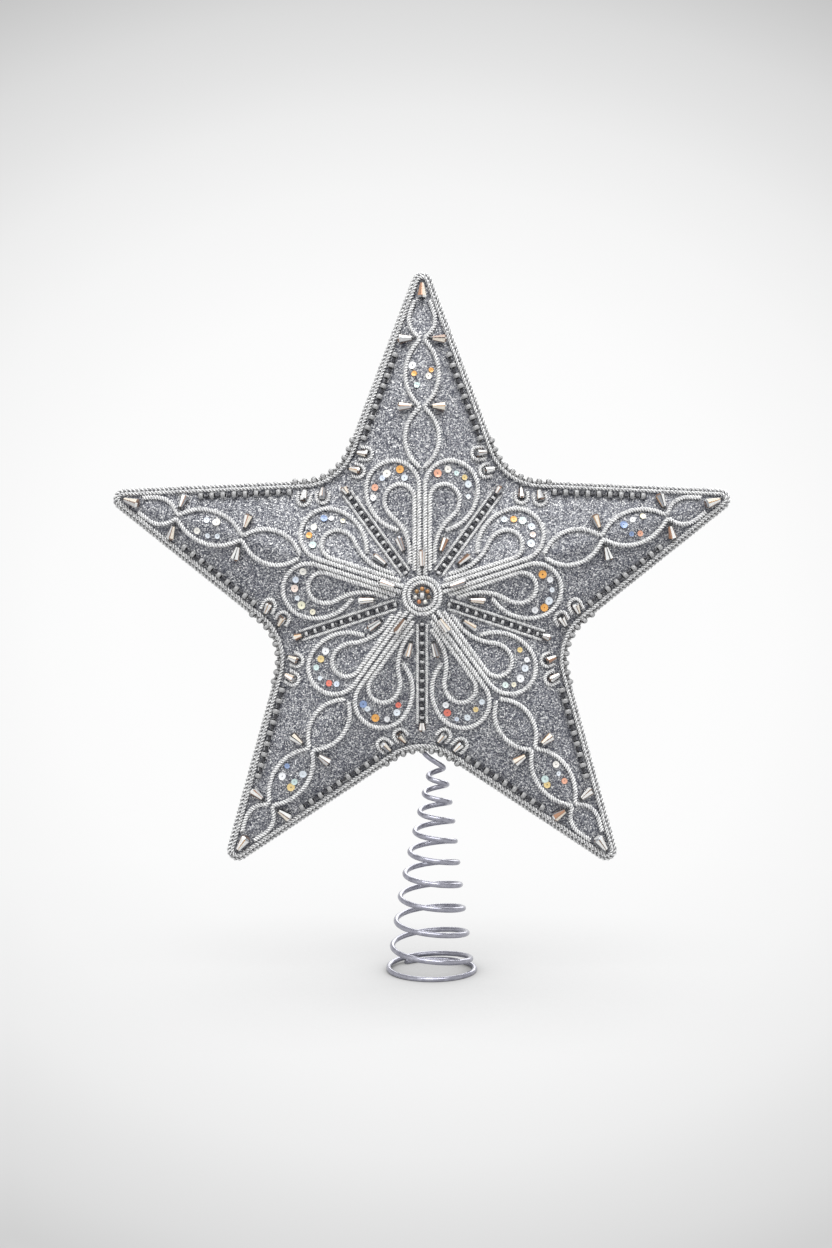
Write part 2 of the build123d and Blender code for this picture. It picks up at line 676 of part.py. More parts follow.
# Put the pieces together, one node each
nodes = {
    "core_board": [make_core_board()],
    "padding": [crown_solid(0, 0)],
    "front_panel": [make_front_panel()],
    "back_panel": [star_slab(CLOTH_EDGE - BACK_INSET, HEM_BACK - FIT - BACK_THICK, HEM_BACK - FIT)],
    "stem_tape": [make_stem_tape()],
    "rim_cord": [make_rim_cord()],
    "border_cord": [make_border_cord()],
    "rosette_rings": make_rosette_rings(),
    "rosette_beads": make_rosette_beads(),
    "rosette_centre_bead": [Pos(0, 0, CLOTH_PEAK.Z + CENTRE_BEAD / 2 + SEAT) * Sphere(CENTRE_BEAD / 2)],
    "border_clear_beads": on_all_arms([b for bead in make_border_clear_beads() for b in both_sides(bead)]),
    "border_dark_beads": on_all_arms([b for bead in make_border_dark_beads() for b in both_sides(bead)]),
    "rib_clear_beads": on_all_arms(make_rib_clear_beads()),
    "rib_dark_beads": on_all_arms([b for bead in make_rib_dark_beads() for b in both_sides(bead)]),
    "rib_end_drops": on_all_arms([make_rib_end_drop()]),
    "tip_drops": on_all_arms([make_tip_drop()]),
    "crossing_drops": on_all_arms([d for piece in make_crossing_drops() for d in both_sides(piece)]),
    "stem_drops": on_all_arms([make_stem_drop()]),
    "flank_drops": on_all_arms(both_sides(make_flank_drop())),
    "notch_drops": on_all_arms([d for piece in make_notch_drops() for d in both_sides(piece)]),
    "notch_seed_beads": on_all_arms(make_notch_seed_beads()),
}

chain = both_sides(make_chain_cord())
petals = both_sides(make_petal_cord())
teardrops = both_sides(make_teardrop_cord())
ribs = both_sides(make_rib_cord())
loops = [side for loop in NOTCH_LOOPS for side in both_sides(make_notch_loop(*loop))]
for arm in range(ARMS):
    nodes[f"arm_{arm + 1}_chain_cords"] = on_arm(chain, arm)
    nodes[f"arm_{arm + 1}_petal_cords"] = on_arm(petals, arm)
    nodes[f"arm_{arm + 1}_teardrop_cords"] = on_arm(teardrops, arm)
    nodes[f"arm_{arm + 1}_rib_cords"] = on_arm(ribs, arm)
    nodes[f"arm_{arm + 1}_notch_loops"] = on_arm(loops, arm)
for colour, discs in make_sequins().items():
    nodes[f"sequins_{colour}"] = discs

os.makedirs("parts", exist_ok=True)
for name, solids in nodes.items():
    upright = [stand(solid) for solid in solids]
    shape = upright[0] if len(upright) == 1 else Compound(children=upright)
    export_step(shape, f"parts/{name}.step")
export_step(make_coil_spring(), "parts/coil_spring.step")

print(f"nodes {len(nodes) + 1}")
print(f"coil: least gap between turns {least_self_gap():.2f} mm, tightest bend {min(COIL_BENDS):.2f} mm")
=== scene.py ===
# %% [markdown]
# # A beaded star for the top of a tree
# The real thing is a padded star of glitter cloth. Cord, glass and sequins are sewn on it, and it
# stands on a cone of coiled wire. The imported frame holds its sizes, its places and its one joint.
# The looks are modelled here around that frame, one kind of piece at a time.

# %% Load the frame
import math
import random

import bmesh
import bpy
from mathutils import Matrix, Vector, kdtree


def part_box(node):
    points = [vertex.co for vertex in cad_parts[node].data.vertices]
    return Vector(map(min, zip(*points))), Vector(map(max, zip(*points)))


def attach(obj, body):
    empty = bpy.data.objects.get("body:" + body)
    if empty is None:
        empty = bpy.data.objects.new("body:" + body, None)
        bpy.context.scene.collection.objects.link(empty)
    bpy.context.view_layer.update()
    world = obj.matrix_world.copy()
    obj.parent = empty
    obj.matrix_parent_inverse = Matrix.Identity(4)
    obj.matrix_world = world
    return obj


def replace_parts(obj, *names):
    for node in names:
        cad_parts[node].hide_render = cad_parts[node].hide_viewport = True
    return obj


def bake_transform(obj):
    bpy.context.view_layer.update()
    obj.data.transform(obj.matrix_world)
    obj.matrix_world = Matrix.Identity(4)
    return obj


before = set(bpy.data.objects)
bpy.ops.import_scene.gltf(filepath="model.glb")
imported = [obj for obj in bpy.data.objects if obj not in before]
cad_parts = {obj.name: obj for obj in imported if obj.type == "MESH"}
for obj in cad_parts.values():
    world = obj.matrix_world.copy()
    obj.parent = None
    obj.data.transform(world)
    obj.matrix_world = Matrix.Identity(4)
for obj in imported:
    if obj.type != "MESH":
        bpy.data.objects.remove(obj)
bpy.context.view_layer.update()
bpy.ops.object.select_all(action="DESELECT")
MM = 0.001

# %% [markdown]
# ## Camera
# The photograph looks straight at the star, level with its middle. The lens follows from the size
# of the star in the picture and from the ellipse that the coil's lowest turn makes.

# %% Camera
CAMERA_PLACE = (-0.0027, -0.600, 0.1575)
CAMERA_LENS = 38.0
SENSOR_WIDTH = 36.0
scene = bpy.context.scene
scene.view_settings.view_transform = "Standard"
bpy.ops.object.camera_add(location=CAMERA_PLACE, rotation=(math.pi / 2, 0, 0))
camera = bpy.context.object
camera.data.lens = CAMERA_LENS
camera.data.sensor_width = SENSOR_WIDTH
scene.camera = camera
print("camera", tuple(round(v, 4) for v in camera.location))

# %% [markdown]
# ## Studio
# A pale floor and a pale world make the background. Its fade, palest in the middle and darker all
# round, is painted light.
# The camera sees it at its own brightness, gloss and glass see a bright studio, and all other rays
# see a dimmer, even light. One large lamp high in front makes the upper facets lighter. A weak one
# fills in from the left, and one behind lights the back for other views.

# %% Helpers for shader nodes
def shader_nodes(owner):
    owner.use_nodes = True
    tree = owner.node_tree
    return tree.nodes, tree.links


def new_finish(name, values):
    """A new material with its nodes, links and shader. The shader's sockets get the values."""
    material = bpy.data.materials.new(name)
    nodes, links = shader_nodes(material)
    shader = nodes["Principled BSDF"]
    for socket, value in values.items():
        shader.inputs[socket].default_value = value
    return material, nodes, links, shader


def vector_math(nodes, links, operation, *values):
    """The result of a vector node. Each value is a plain vector or the output of another node."""
    node = nodes.new("ShaderNodeVectorMath")
    node.operation = operation
    for socket, value in zip(node.inputs, values):
        if isinstance(value, bpy.types.NodeSocket):
            links.new(value, socket)
        else:
            socket.default_value = value
    return node.outputs["Value" if operation == "LENGTH" else "Vector"]


def background_rays(nodes, links):
    """1 for rays that show the background as it is: from the camera, off gloss, through glass."""
    path = nodes.new("ShaderNodeLightPath")
    total = path.outputs["Is Camera Ray"]
    for kind in ("Is Glossy Ray", "Is Transmission Ray"):
        either = nodes.new("ShaderNodeMath")
        either.operation = "MAXIMUM"
        links.new(total, either.inputs[0])
        links.new(path.outputs[kind], either.inputs[1])
        total = either.outputs[0]
    return total


def ramp(nodes, links, value, stops):
    """A colour ramp over value, from (place, colour) stops."""
    node = nodes.new("ShaderNodeValToRGB")
    band = node.color_ramp
    while len(band.elements) < len(stops):
        band.elements.new(0.5)
    for element, (place, colour) in zip(band.elements, stops):
        element.position = place
        element.color = (*colour, 1)
    links.new(value, node.inputs["Fac"])
    return node.outputs["Color"]


def grey(level):
    return (level, level, level)

# %% Light and background
# Painted light: the background's fade, palest in the middle and darker all round.
FADE = [
    (0.20, grey(0.982)), (0.25, grey(0.970)), (0.33, grey(0.921)), (0.39, grey(0.852)),
    (0.43, grey(0.779)), (0.47, grey(0.717)), (0.53, grey(0.575)),
]
FLOOR_FADE = FADE[:-1] + [(0.51, grey(0.63)), (0.80, grey(0.95))]
FADE_SHAPE = (0.93, 0, 1)
FLOOR_FADE_SHAPE = (0.93, 0, 0.965)
WIDEST_SLOPE = (0.30, 0, 0.50)
FLOOR_WIDEST_SLOPE = (0.30, 0, 2.0)


def background_fade(nodes, links, way, stops, shape, widest):
    """Painted shade of the background, by how far a way leads aside and up or down over level ground."""
    level = vector_math(nodes, links, "MULTIPLY", way, (1, 1, 0))
    run = vector_math(nodes, links, "LENGTH", level)
    slope = vector_math(nodes, links, "ABSOLUTE", vector_math(nodes, links, "DIVIDE", way, run))
    slope = vector_math(nodes, links, "MINIMUM", slope, widest)
    reach = vector_math(nodes, links, "LENGTH", vector_math(nodes, links, "MULTIPLY", slope, shape))
    return ramp(nodes, links, reach, stops)


STUDIO_GLOSS = [(0.0, grey(0.98)), (0.25, grey(0.93)), (0.45, grey(0.70))]
AMBIENT = 0.60
AMBIENT_TINT = (0.97, 0.98, 1.0, 1)
KEY_POWER = 10.5
KEY_SIZE = 0.9
KEY_PLACE = (0.04, -0.44, 0.95)
FILL_POWER = 1.5
FILL_PLACE = (-0.9, -1.1, 0.45)
BACK_POWER = 7.0
BACK_PLACE = (0.25, 1.0, 0.75)
STAR_MIDDLE = Vector((0, 0, 0.17))

world = bpy.data.worlds.new("studio")
scene.world = world
nodes, links = shader_nodes(world)
seen = nodes["Background"]
way = nodes.new("ShaderNodeTexCoord").outputs["Generated"]
height = nodes.new("ShaderNodeSeparateXYZ")
links.new(way, height.inputs[0])
studio = ramp(nodes, links, height.outputs["Z"], STUDIO_GLOSS)
direct = nodes.new("ShaderNodeMix")
direct.data_type = "RGBA"
links.new(nodes.new("ShaderNodeLightPath").outputs["Is Camera Ray"], direct.inputs["Factor"])
links.new(studio, direct.inputs["A"])
seen_fade = background_fade(nodes, links, way, FADE, FADE_SHAPE, WIDEST_SLOPE)
links.new(seen_fade, direct.inputs["B"])
links.new(direct.outputs["Result"], seen.inputs["Color"])
soft = nodes.new("ShaderNodeBackground")
soft.inputs["Color"].default_value = AMBIENT_TINT
soft.inputs["Strength"].default_value = AMBIENT
mix = nodes.new("ShaderNodeMixShader")
links.new(background_rays(nodes, links), mix.inputs["Fac"])
links.new(soft.outputs[0], mix.inputs[1])
links.new(seen.outputs[0], mix.inputs[2])
links.new(mix.outputs[0], nodes["World Output"].inputs["Surface"])


def soft_lamp(name, place, power, size):
    bpy.ops.object.light_add(type="AREA", location=place)
    lamp = bpy.context.object
    lamp.name = name
    lamp.data.energy = power
    lamp.data.size = size
    lamp.rotation_euler = (STAR_MIDDLE - Vector(place)).to_track_quat("-Z", "Y").to_euler()


soft_lamp("key", KEY_PLACE, KEY_POWER, KEY_SIZE)
soft_lamp("fill", FILL_PLACE, FILL_POWER, KEY_SIZE)
soft_lamp("back", BACK_PLACE, BACK_POWER, KEY_SIZE)
print("lamps at", KEY_PLACE, FILL_PLACE, "and", BACK_PLACE)

# %% [markdown]
# The floor glows with the same painted fade as the world, a pool of light laid out from one fixed
# point in front of the star, so that no horizon is seen and the fade stays in place in other views.
# Outside the picture it turns pale again. A share of plain lit paper keeps the star's shadow, and
# ambient occlusion paints a shadow into the floor's glow at the foot of the coil.

# %% Floor
FLOOR_RADIUS = 30.0
FLOOR_BELOW = 0.0001
FLOOR_GREY = 0.57
FLOOR_ROUGHNESS = 0.9
FADE_POINT = (0, -0.6, 0.158)
SHADE_REACH = 0.13
SHADE_SAMPLES = 32
SHADOW_SHARE = 0.12
SHADOW_REACH = 0.35
bpy.ops.mesh.primitive_circle_add(vertices=96, radius=FLOOR_RADIUS, fill_type="NGON")
floor = bpy.context.object
floor.name = "floor"
floor.location.z = -FLOOR_BELOW
paper_values = {"Base Color": (*grey(FLOOR_GREY), 1), "Roughness": FLOOR_ROUGHNESS}
paper, nodes, links, paper_shader = new_finish("pale_floor", paper_values)
spot = nodes.new("ShaderNodeTexCoord").outputs["Object"]
way = vector_math(nodes, links, "SUBTRACT", spot, FADE_POINT)
# Painted shadow: ambient occlusion darkens the floor's glowing colour near the coil and the star.
shade = nodes.new("ShaderNodeAmbientOcclusion")
shade.samples = SHADE_SAMPLES
shade.inputs["Distance"].default_value = SHADE_REACH
painted_floor_light = background_fade(nodes, links, way, FLOOR_FADE, FLOOR_FADE_SHAPE, FLOOR_WIDEST_SLOPE)
links.new(painted_floor_light, shade.inputs["Color"])
glow = nodes.new("ShaderNodeEmission")
links.new(shade.outputs["Color"], glow.inputs["Color"])
clear = nodes.new("ShaderNodeMapRange")
clear.inputs["From Min"].default_value = SHADOW_REACH / 3
clear.inputs["From Max"].default_value = SHADOW_REACH
clear.inputs["To Min"].default_value = 1 - SHADOW_SHARE
links.new(vector_math(nodes, links, "LENGTH", spot), clear.inputs["Value"])
keep_shadow = nodes.new("ShaderNodeMath")
keep_shadow.operation = "MULTIPLY"
links.new(background_rays(nodes, links), keep_shadow.inputs[0])
links.new(clear.outputs[0], keep_shadow.inputs[1])
floor_mix = nodes.new("ShaderNodeMixShader")
links.new(keep_shadow.outputs[0], floor_mix.inputs["Fac"])
links.new(paper_shader.outputs[0], floor_mix.inputs[1])
links.new(glow.outputs[0], floor_mix.inputs[2])
links.new(floor_mix.outputs[0], nodes["Material Output"].inputs["Surface"])
floor.data.materials.append(paper)
print("floor radius", FLOOR_RADIUS, "m")

# %% [markdown]
# ## Where things lie on the star
# The star is laid out flat first, in millimetres: x to the right, y up and z to the front. Its ten
# facets are alike, so every piece is drawn on one facet, with s out along the ridge and t across
# it, and is then mirrored and turned to the other arms. `stand` sets the flat star upright.

# %% Measures of the star
ARMS = 5
SIDES = (1, -1)
FACETS = [(arm, side) for arm in range(ARMS) for side in SIDES]
TURN = 2 * math.pi / ARMS
TIP_RADIUS = 148.0
NOTCH_RADIUS = 62.3
TIP_ROUND = 2.2
NOTCH_ROUND = 25.5
STAR_HEIGHT = 170.0
CROWN_FALL = 13.0
CLOTH_EDGE = 0.85
SEAT = 0.06
BORDER_CORD = 1.6

PEAK = Vector((0, 0, -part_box("front_panel")[0].y / MM))
BACK_OF_CLOTH = -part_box("front_panel")[1].y / MM
TO_TIP = Vector((0, TIP_RADIUS, -CROWN_FALL))
TO_NOTCH = Vector((-NOTCH_RADIUS * math.sin(TURN / 2), NOTCH_RADIUS * math.cos(TURN / 2), -CROWN_FALL))
NORMAL = TO_TIP.cross(TO_NOTCH).normalized()
ALONG = TO_TIP.normalized()
ACROSS = NORMAL.cross(ALONG)
EDGE_ANGLE = math.atan2(-TO_NOTCH.x, TIP_RADIUS - TO_NOTCH.y)
NOTCH_ANGLE = TURN / 2 + EDGE_ANGLE


def turn_to_arm(flat, arm):
    c, s = math.cos(arm * TURN), math.sin(arm * TURN)
    return Vector((flat.x * c + flat.y * s, flat.y * c - flat.x * s, flat.z))


def stand(flat):
    """The upright place, in metres, of a point of the flat star."""
    return Vector((flat.x, -flat.z, STAR_HEIGHT + flat.y)) * MM


def arm_place(flat, arm):
    """The upright place of a point of the first arm, turned to another arm."""
    return stand(turn_to_arm(flat, arm))


def arm_way(flat, arm):
    """The upright direction for a flat one of the first arm, turned to another arm."""
    flat = turn_to_arm(flat, arm)
    return Vector((flat.x, -flat.z, flat.y))


def facet_place(spot, lift, arm, side):
    """The upright place of a spot (s, t) on a facet, lifted off it."""
    flat = PEAK + ALONG * spot[0] + ACROSS * spot[1] + NORMAL * lift
    flat.x *= side
    return arm_place(flat, arm)


def facet_way(s, t, rise, arm, side):
    """An upright direction, from its parts along the ridge, across it and off the facet."""
    flat = ALONG * s + ACROSS * t + NORMAL * rise
    flat.x *= side
    return arm_way(flat, arm)


def cloth_height(x, y):
    """Height of the flat facets over a point of the flat star."""
    angle = math.atan2(x, y) % TURN
    angle = min(angle, TURN - angle)
    radius = math.hypot(x, y)
    fall = NORMAL.x * -radius * math.sin(angle) + NORMAL.y * radius * math.cos(angle)
    return PEAK.z - fall / NORMAL.z


def tip_corner(d):
    """How far out the sharp corner of a tip lies, on the outline grown by d."""
    return TIP_RADIUS + d / math.sin(EDGE_ANGLE)


def tip_reach(d):
    """How far out the rounded tip lies, on the outline grown by d."""
    return tip_corner(d) - (TIP_ROUND + d) * (1 / math.sin(EDGE_ANGLE) - 1)


def notch_corner(d):
    """How far out the sharp corner of a notch lies, on the outline grown by d."""
    return NOTCH_RADIUS + d / math.sin(NOTCH_ANGLE)


def notch_spot(d):
    return Vector((math.sin(TURN / 2), math.cos(TURN / 2))) * notch_corner(d)


TIP_REACH = tip_reach(CLOTH_EDGE)
EDGE_TIP = Vector((tip_corner(CLOTH_EDGE) / ALONG.y, 0))
NOTCH_SHARE = notch_corner(CLOTH_EDGE) / NOTCH_RADIUS
EDGE_NOTCH = Vector((TO_NOTCH.dot(ALONG), TO_NOTCH.dot(ACROSS))) * NOTCH_SHARE
EDGE_WAY = (EDGE_NOTCH - EDGE_TIP).normalized()
EDGE_OUT = Vector((-EDGE_WAY.y, EDGE_WAY.x))
if EDGE_OUT.y < 0:
    EDGE_OUT.negate()
FACET_TILT = math.sqrt(1 - NORMAL.z ** 2) / NORMAL.z


def edge_spot(from_notch, depth):
    """A spot on the facet, along the cloth's edge from the notch and inward from it."""
    return EDGE_NOTCH - EDGE_WAY * from_notch - EDGE_OUT * depth


def beside_border(half):
    """Depth of a piece, half as wide as given, that lies against the border cord."""
    return (BORDER_CORD + half + 2 * SEAT) / NORMAL.z + (half + SEAT) * FACET_TILT


print("tip reach", round(TIP_REACH, 1), "mm, peak", round(PEAK.z, 2), "mm")

# %% [markdown]
# ## Lines of the couching
# Each cord follows straight runs and round bends, so a small pen draws them: it goes forward,
# bends at a radius, or goes round a given centre. Its points are close enough together to show
# the twist of the cord later.

# %% A pen for the cord lines
CORD_STEP = 0.28


def unit_way(heading):
    return Vector((math.cos(heading), math.sin(heading)))


def heading_of(way):
    return math.atan2(way.y, way.x)


class Pen:
    """Draws a line of points: straight runs and bends, from a start and a heading."""

    def __init__(self, start, heading):
        self.heading = heading
        self.points = [Vector(start)]

    def forward(self, length):
        start = self.points[-1].copy()
        way = unit_way(self.heading)
        count = max(1, round(length / CORD_STEP))
        self.points += [start + way * (length * n / count) for n in range(1, count + 1)]
        return self

    def bend(self, radius, degrees):
        turn = math.radians(degrees)
        left = Vector((-math.sin(self.heading), math.cos(self.heading)))
        return self._sweep(self.points[-1] + left * math.copysign(radius, turn), turn)

    def round(self, centre, end):
        a, b = self.points[-1] - centre, end - centre
        return self._sweep(centre, math.atan2(a.x * b.y - a.y * b.x, a.dot(b)))

    def _sweep(self, centre, turn):
        arm = self.points[-1] - centre
        count = max(2, round(arm.length * abs(turn) / CORD_STEP))
        for n in range(1, count + 1):
            c, s = math.cos(turn * n / count), math.sin(turn * n / count)
            self.points.append(centre + Vector((arm.x * c - arm.y * s, arm.x * s + arm.y * c)))
        self.heading += turn
        return self


def star_line(d):
    """The rounded outline of the flat star, grown by d, clockwise from the top tip."""
    tip_bend, notch_bend = TIP_ROUND + d, NOTCH_ROUND - d
    tip_turn = 180 - 2 * math.degrees(EDGE_ANGLE)
    notch_turn = 180 - 2 * math.degrees(NOTCH_ANGLE)
    tip_cut = tip_bend / math.tan(EDGE_ANGLE)
    notch_cut = notch_bend / math.tan(NOTCH_ANGLE)
    run = (Vector((0, tip_corner(d))) - notch_spot(d)).length - tip_cut - notch_cut
    pen = Pen((0, tip_reach(d)), 0.0)
    for arm in range(ARMS):
        pen.bend(tip_bend, -tip_turn / 2).forward(run).bend(notch_bend, notch_turn)
        pen.forward(run).bend(tip_bend, -tip_turn / 2)
    return pen.points[:-1]


outline = star_line(CLOTH_EDGE)
print("outline", len(outline), "points, reach", round(max(p.length for p in outline), 1), "mm")

# %% [markdown]
# The chain on each ridge makes three loops: its two mirrored cords swing apart and come together
# at the crossings. The petals and teardrops stand on both sides of a stem that runs into the
# rosette, and the ribs lie beside the valleys.

# %% Lines of one facet
PATTERN_CORD = 2.1
RIB_CORD = 1.4
LOOP_CORD = 1.8
CHAIN_TIP_GAP = 10.8
CROSSING_FROM_TIP = 28.7
CROSSING_PITCH = 31.0
MIDDLE_LOOP_HALF = 7.5
LOWER_LOOP_HALF = 7.6
TIP_LOOP_RADIUS = 10.0
CROSSING_BEND = 1.6
CHAIN_CLEAR_OF_PETAL = 0.5
PETAL_ROOT, PETAL_CENTRE, PETAL_RADIUS = 9.2, 49.0, 12.2
PETAL_SIDE_RADIUS, PETAL_SIDE_TURN = 20.0, 70.0
PETAL_END_RADIUS, PETAL_END_TURN = 8.0, 14.0
TEARDROP_ROOT, TEARDROP_CENTRE, TEARDROP_RADIUS = 11.2, 43.5, 6.85
TEARDROP_SIDE_RADIUS, TEARDROP_SIDE_TURN, TEARDROP_TAIL = 10.0, 50.0, 5.4
TEARDROP_RUN = 4.3
RIB_START, RIB_END, RIB_HALF = 12.5, 58.5, 2.2
NOTCH_LOOPS = ((16.4, 10.0, 12.0), (7.9, 9.4, 6.0))
LOOP_BEND = 2.8

CROSSINGS = (TIP_REACH - CROSSING_FROM_TIP, TIP_REACH - CROSSING_FROM_TIP - CROSSING_PITCH)
CHAIN_SIDE = PATTERN_CORD / 2 + SEAT
TEARDROP_SIDE = CHAIN_SIDE + PATTERN_CORD + SEAT
CHAIN_FOOT_REACH = PETAL_RADIUS + PATTERN_CORD + CHAIN_CLEAR_OF_PETAL
CHAIN_FOOT = PETAL_CENTRE + math.sqrt(CHAIN_FOOT_REACH ** 2 - PETAL_RADIUS ** 2)
VALLEY_WAY = EDGE_NOTCH.normalized()
VALLEY_INWARD = Vector((VALLEY_WAY.y, -VALLEY_WAY.x))


def loop_centre(upper, lower, half_width):
    """Centre of a loop's side, between two crossing bends that it runs into smoothly."""
    reach = (upper - lower) / 2
    rise = CHAIN_SIDE + CROSSING_BEND - half_width
    radius = (reach ** 2 + rise ** 2 - CROSSING_BEND ** 2) / (2 * (half_width - CHAIN_SIDE))
    return Vector(((upper + lower) / 2, half_width - radius))


def chain_line():
    bends = [Vector((s, CHAIN_SIDE + CROSSING_BEND)) for s in (*CROSSINGS, CHAIN_FOOT)]
    inside = EDGE_OUT.dot(EDGE_TIP) - beside_border(PATTERN_CORD / 2) - TIP_LOOP_RADIUS
    gap = inside - EDGE_OUT.dot(bends[0])
    slide = math.sqrt((TIP_LOOP_RADIUS + CROSSING_BEND) ** 2 - gap ** 2)
    centres = [
        bends[0] + EDGE_OUT * gap - EDGE_WAY * slide,
        loop_centre(bends[0].x, bends[1].x, MIDDLE_LOOP_HALF),
        loop_centre(bends[1].x, bends[2].x, LOWER_LOOP_HALF),
    ]
    leave = centres[0] + EDGE_OUT * TIP_LOOP_RADIUS
    run = max((TIP_REACH - CHAIN_TIP_GAP - leave.x) / -EDGE_WAY.x, PATTERN_CORD)
    pen = Pen(leave - EDGE_WAY * run, heading_of(EDGE_WAY)).forward(run)
    for bend, centre, after in zip(bends, centres, [*centres[1:], None]):
        pen.round(centre, bend + (centre - bend).normalized() * CROSSING_BEND)
        way = Vector((0, -1)) if after is None else (after - bend).normalized()
        pen.round(bend, bend + way * CROSSING_BEND)
    return pen.points


def petal_line():
    pen = Pen((PETAL_ROOT, CHAIN_SIDE), 0.0).forward(PETAL_CENTRE - PETAL_ROOT).bend(PETAL_RADIUS, 180)
    return pen.bend(PETAL_SIDE_RADIUS, PETAL_SIDE_TURN).bend(PETAL_END_RADIUS, -PETAL_END_TURN).points


def teardrop_line():
    pen = Pen((TEARDROP_ROOT, TEARDROP_SIDE), 0.0).forward(TEARDROP_CENTRE - TEARDROP_ROOT)
    pen.bend(TEARDROP_RADIUS, 180).bend(TEARDROP_SIDE_RADIUS, TEARDROP_SIDE_TURN)
    fall = pen.points[-1].y - TEARDROP_TAIL
    bend = fall / (1 - math.cos(math.radians(TEARDROP_SIDE_TURN)))
    return pen.bend(bend, -TEARDROP_SIDE_TURN).forward(TEARDROP_RUN).points


def rib_line():
    start = VALLEY_WAY * RIB_START + VALLEY_INWARD * RIB_HALF
    return Pen(start, heading_of(VALLEY_WAY)).forward(RIB_END - RIB_START).points


def loop_frame(from_notch, depth, lean):
    """Middle of a notch loop's round end, and the way from there to the edge."""
    outward = unit_way(heading_of(EDGE_OUT) + math.radians(lean))
    return edge_spot(from_notch, depth - LOOP_BEND), outward


def notch_loop_line(from_notch, depth, lean):
    middle, outward = loop_frame(from_notch, depth, lean)
    across = Vector((-outward.y, outward.x)) * LOOP_BEND
    run = (depth - LOOP_BEND - beside_border(LOOP_CORD)) / outward.dot(EDGE_OUT)
    pen = Pen(middle + across + outward * run, heading_of(-outward))
    return pen.forward(run).bend(LOOP_BEND, 180).forward(run).points


facet_lines = {
    "chain": ([chain_line()], PATTERN_CORD),
    "petal": ([petal_line()], PATTERN_CORD),
    "teardrop": ([teardrop_line()], PATTERN_CORD),
    "rib": ([rib_line()], RIB_CORD),
    "notch_loop": ([notch_loop_line(*loop) for loop in NOTCH_LOOPS], LOOP_CORD),
}
for name, (lines, thick) in facet_lines.items():
    print(name, "cord:", [len(line) for line in lines], "points,", thick, "mm thick")

# %% [markdown]
# ## Padded cover
# On the real star the glitter cloth is pulled over wadding, and every couched line holds it down,
# so it swells a little between the lines. A grid is wrapped round into a star, the vertices under
# the lines and at the edge are pinned, and the Cloth solver blows the rest up. A cap keeps the
# swelling small, because the photograph shows nearly flat facets.

# %% Helpers for modelling by hand
def only(obj):
    """Makes obj the only selected object, and the active one."""
    bpy.ops.object.select_all(action="DESELECT")
    obj.select_set(True)
    bpy.context.view_layer.objects.active = obj


def start_edit(obj):
    only(obj)
    bpy.ops.object.mode_set(mode="EDIT")


def pick(obj, kind, test):
    """In edit mode, selects only the vertices, edges or faces that pass the test."""
    bpy.ops.mesh.select_mode(type=kind)
    bpy.ops.mesh.select_all(action="DESELECT")
    mesh = bmesh.from_edit_mesh(obj.data)
    for part in {"VERT": mesh.verts, "EDGE": mesh.edges, "FACE": mesh.faces}[kind]:
        if test(part):
            part.select_set(True)
    mesh.select_flush_mode()
    bmesh.update_edit_mesh(obj.data)


def face_outward():
    """In edit mode, points all faces outwards."""
    bpy.ops.mesh.select_all(action="SELECT")
    bpy.ops.mesh.normals_make_consistent(inside=False)


def end_edit():
    bpy.ops.object.mode_set(mode="OBJECT")


def apply_modifier(obj, kind, **settings):
    only(obj)
    modifier = obj.modifiers.new(kind.lower(), kind)
    for key, value in settings.items():
        setattr(modifier, key, value)
    bpy.ops.object.modifier_apply(modifier=modifier.name)


def smooth(obj, degrees=40):
    only(obj)
    bpy.ops.object.shade_smooth_by_angle(angle=math.radians(degrees))


def dress(obj, material, body="star"):
    """Gives a finished piece its material, and lets it ride on a body."""
    obj.data.materials.clear()
    obj.data.materials.append(material)
    if body:
        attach(obj, body)
    return obj

# %% Grid wrapped into a star
MERGE_WITHIN = 0.02 * MM


def star_grid(name, d, rings, spokes_per_arm, height):
    """A star-shaped sheet: a grid whose one side is the middle and whose other is the outline."""
    spokes = spokes_per_arm * ARMS
    bpy.ops.mesh.primitive_grid_add(x_subdivisions=rings, y_subdivisions=spokes, size=2)
    sheet = bpy.context.object
    sheet.name = name
    edge = star_line(d)
    for vertex in sheet.data.vertices:
        share = (vertex.co.x + 1) / 2
        place = (1 - vertex.co.y) / 2 * len(edge)
        here = edge[round(place) % len(edge)] * share
        vertex.co = stand(Vector((here.x, here.y, height(here.x, here.y))))
    start_edit(sheet)
    bpy.ops.mesh.select_all(action="SELECT")
    bpy.ops.mesh.remove_doubles(threshold=MERGE_WITHIN)
    face_outward()
    end_edit()
    return sheet


COVER_RINGS = 60
COVER_SPOKES = 84
cover = star_grid("star_cover", CLOTH_EDGE, COVER_RINGS, COVER_SPOKES, cloth_height)
front_share = sum(1 for f in cover.data.polygons if f.normal.y < 0) / len(cover.data.polygons)
if front_share < 0.5:
    cover.data.flip_normals()
print("cover sheet:", len(cover.data.vertices), "vertices, facing front", round(front_share, 2))

# %% Swell the cloth between its couched lines
HELD_EDGE = 5.5
HELD_LINE = 1.7
HELD_EVERY = 4
PUFF_CAP = 0.9 * MM
PUFF_PRESSURE = 4.0
CLOTH_QUALITY = 4
SWELL_FRAMES = 18


def place_tree(places):
    """Finds the nearest of many places quickly."""
    tree = kdtree.KDTree(len(places))
    for n, place in enumerate(places):
        tree.insert(place, n)
    tree.balance()
    return tree


held_places = []
for lines, thick in facet_lines.values():
    for line in lines:
        held_places += [facet_place(p, 0, *facet) for facet in FACETS for p in line[::HELD_EVERY]]
line_tree = place_tree(held_places)
edge_tree = place_tree([stand(Vector((p.x, p.y, cloth_height(p.x, p.y)))) for p in outline])

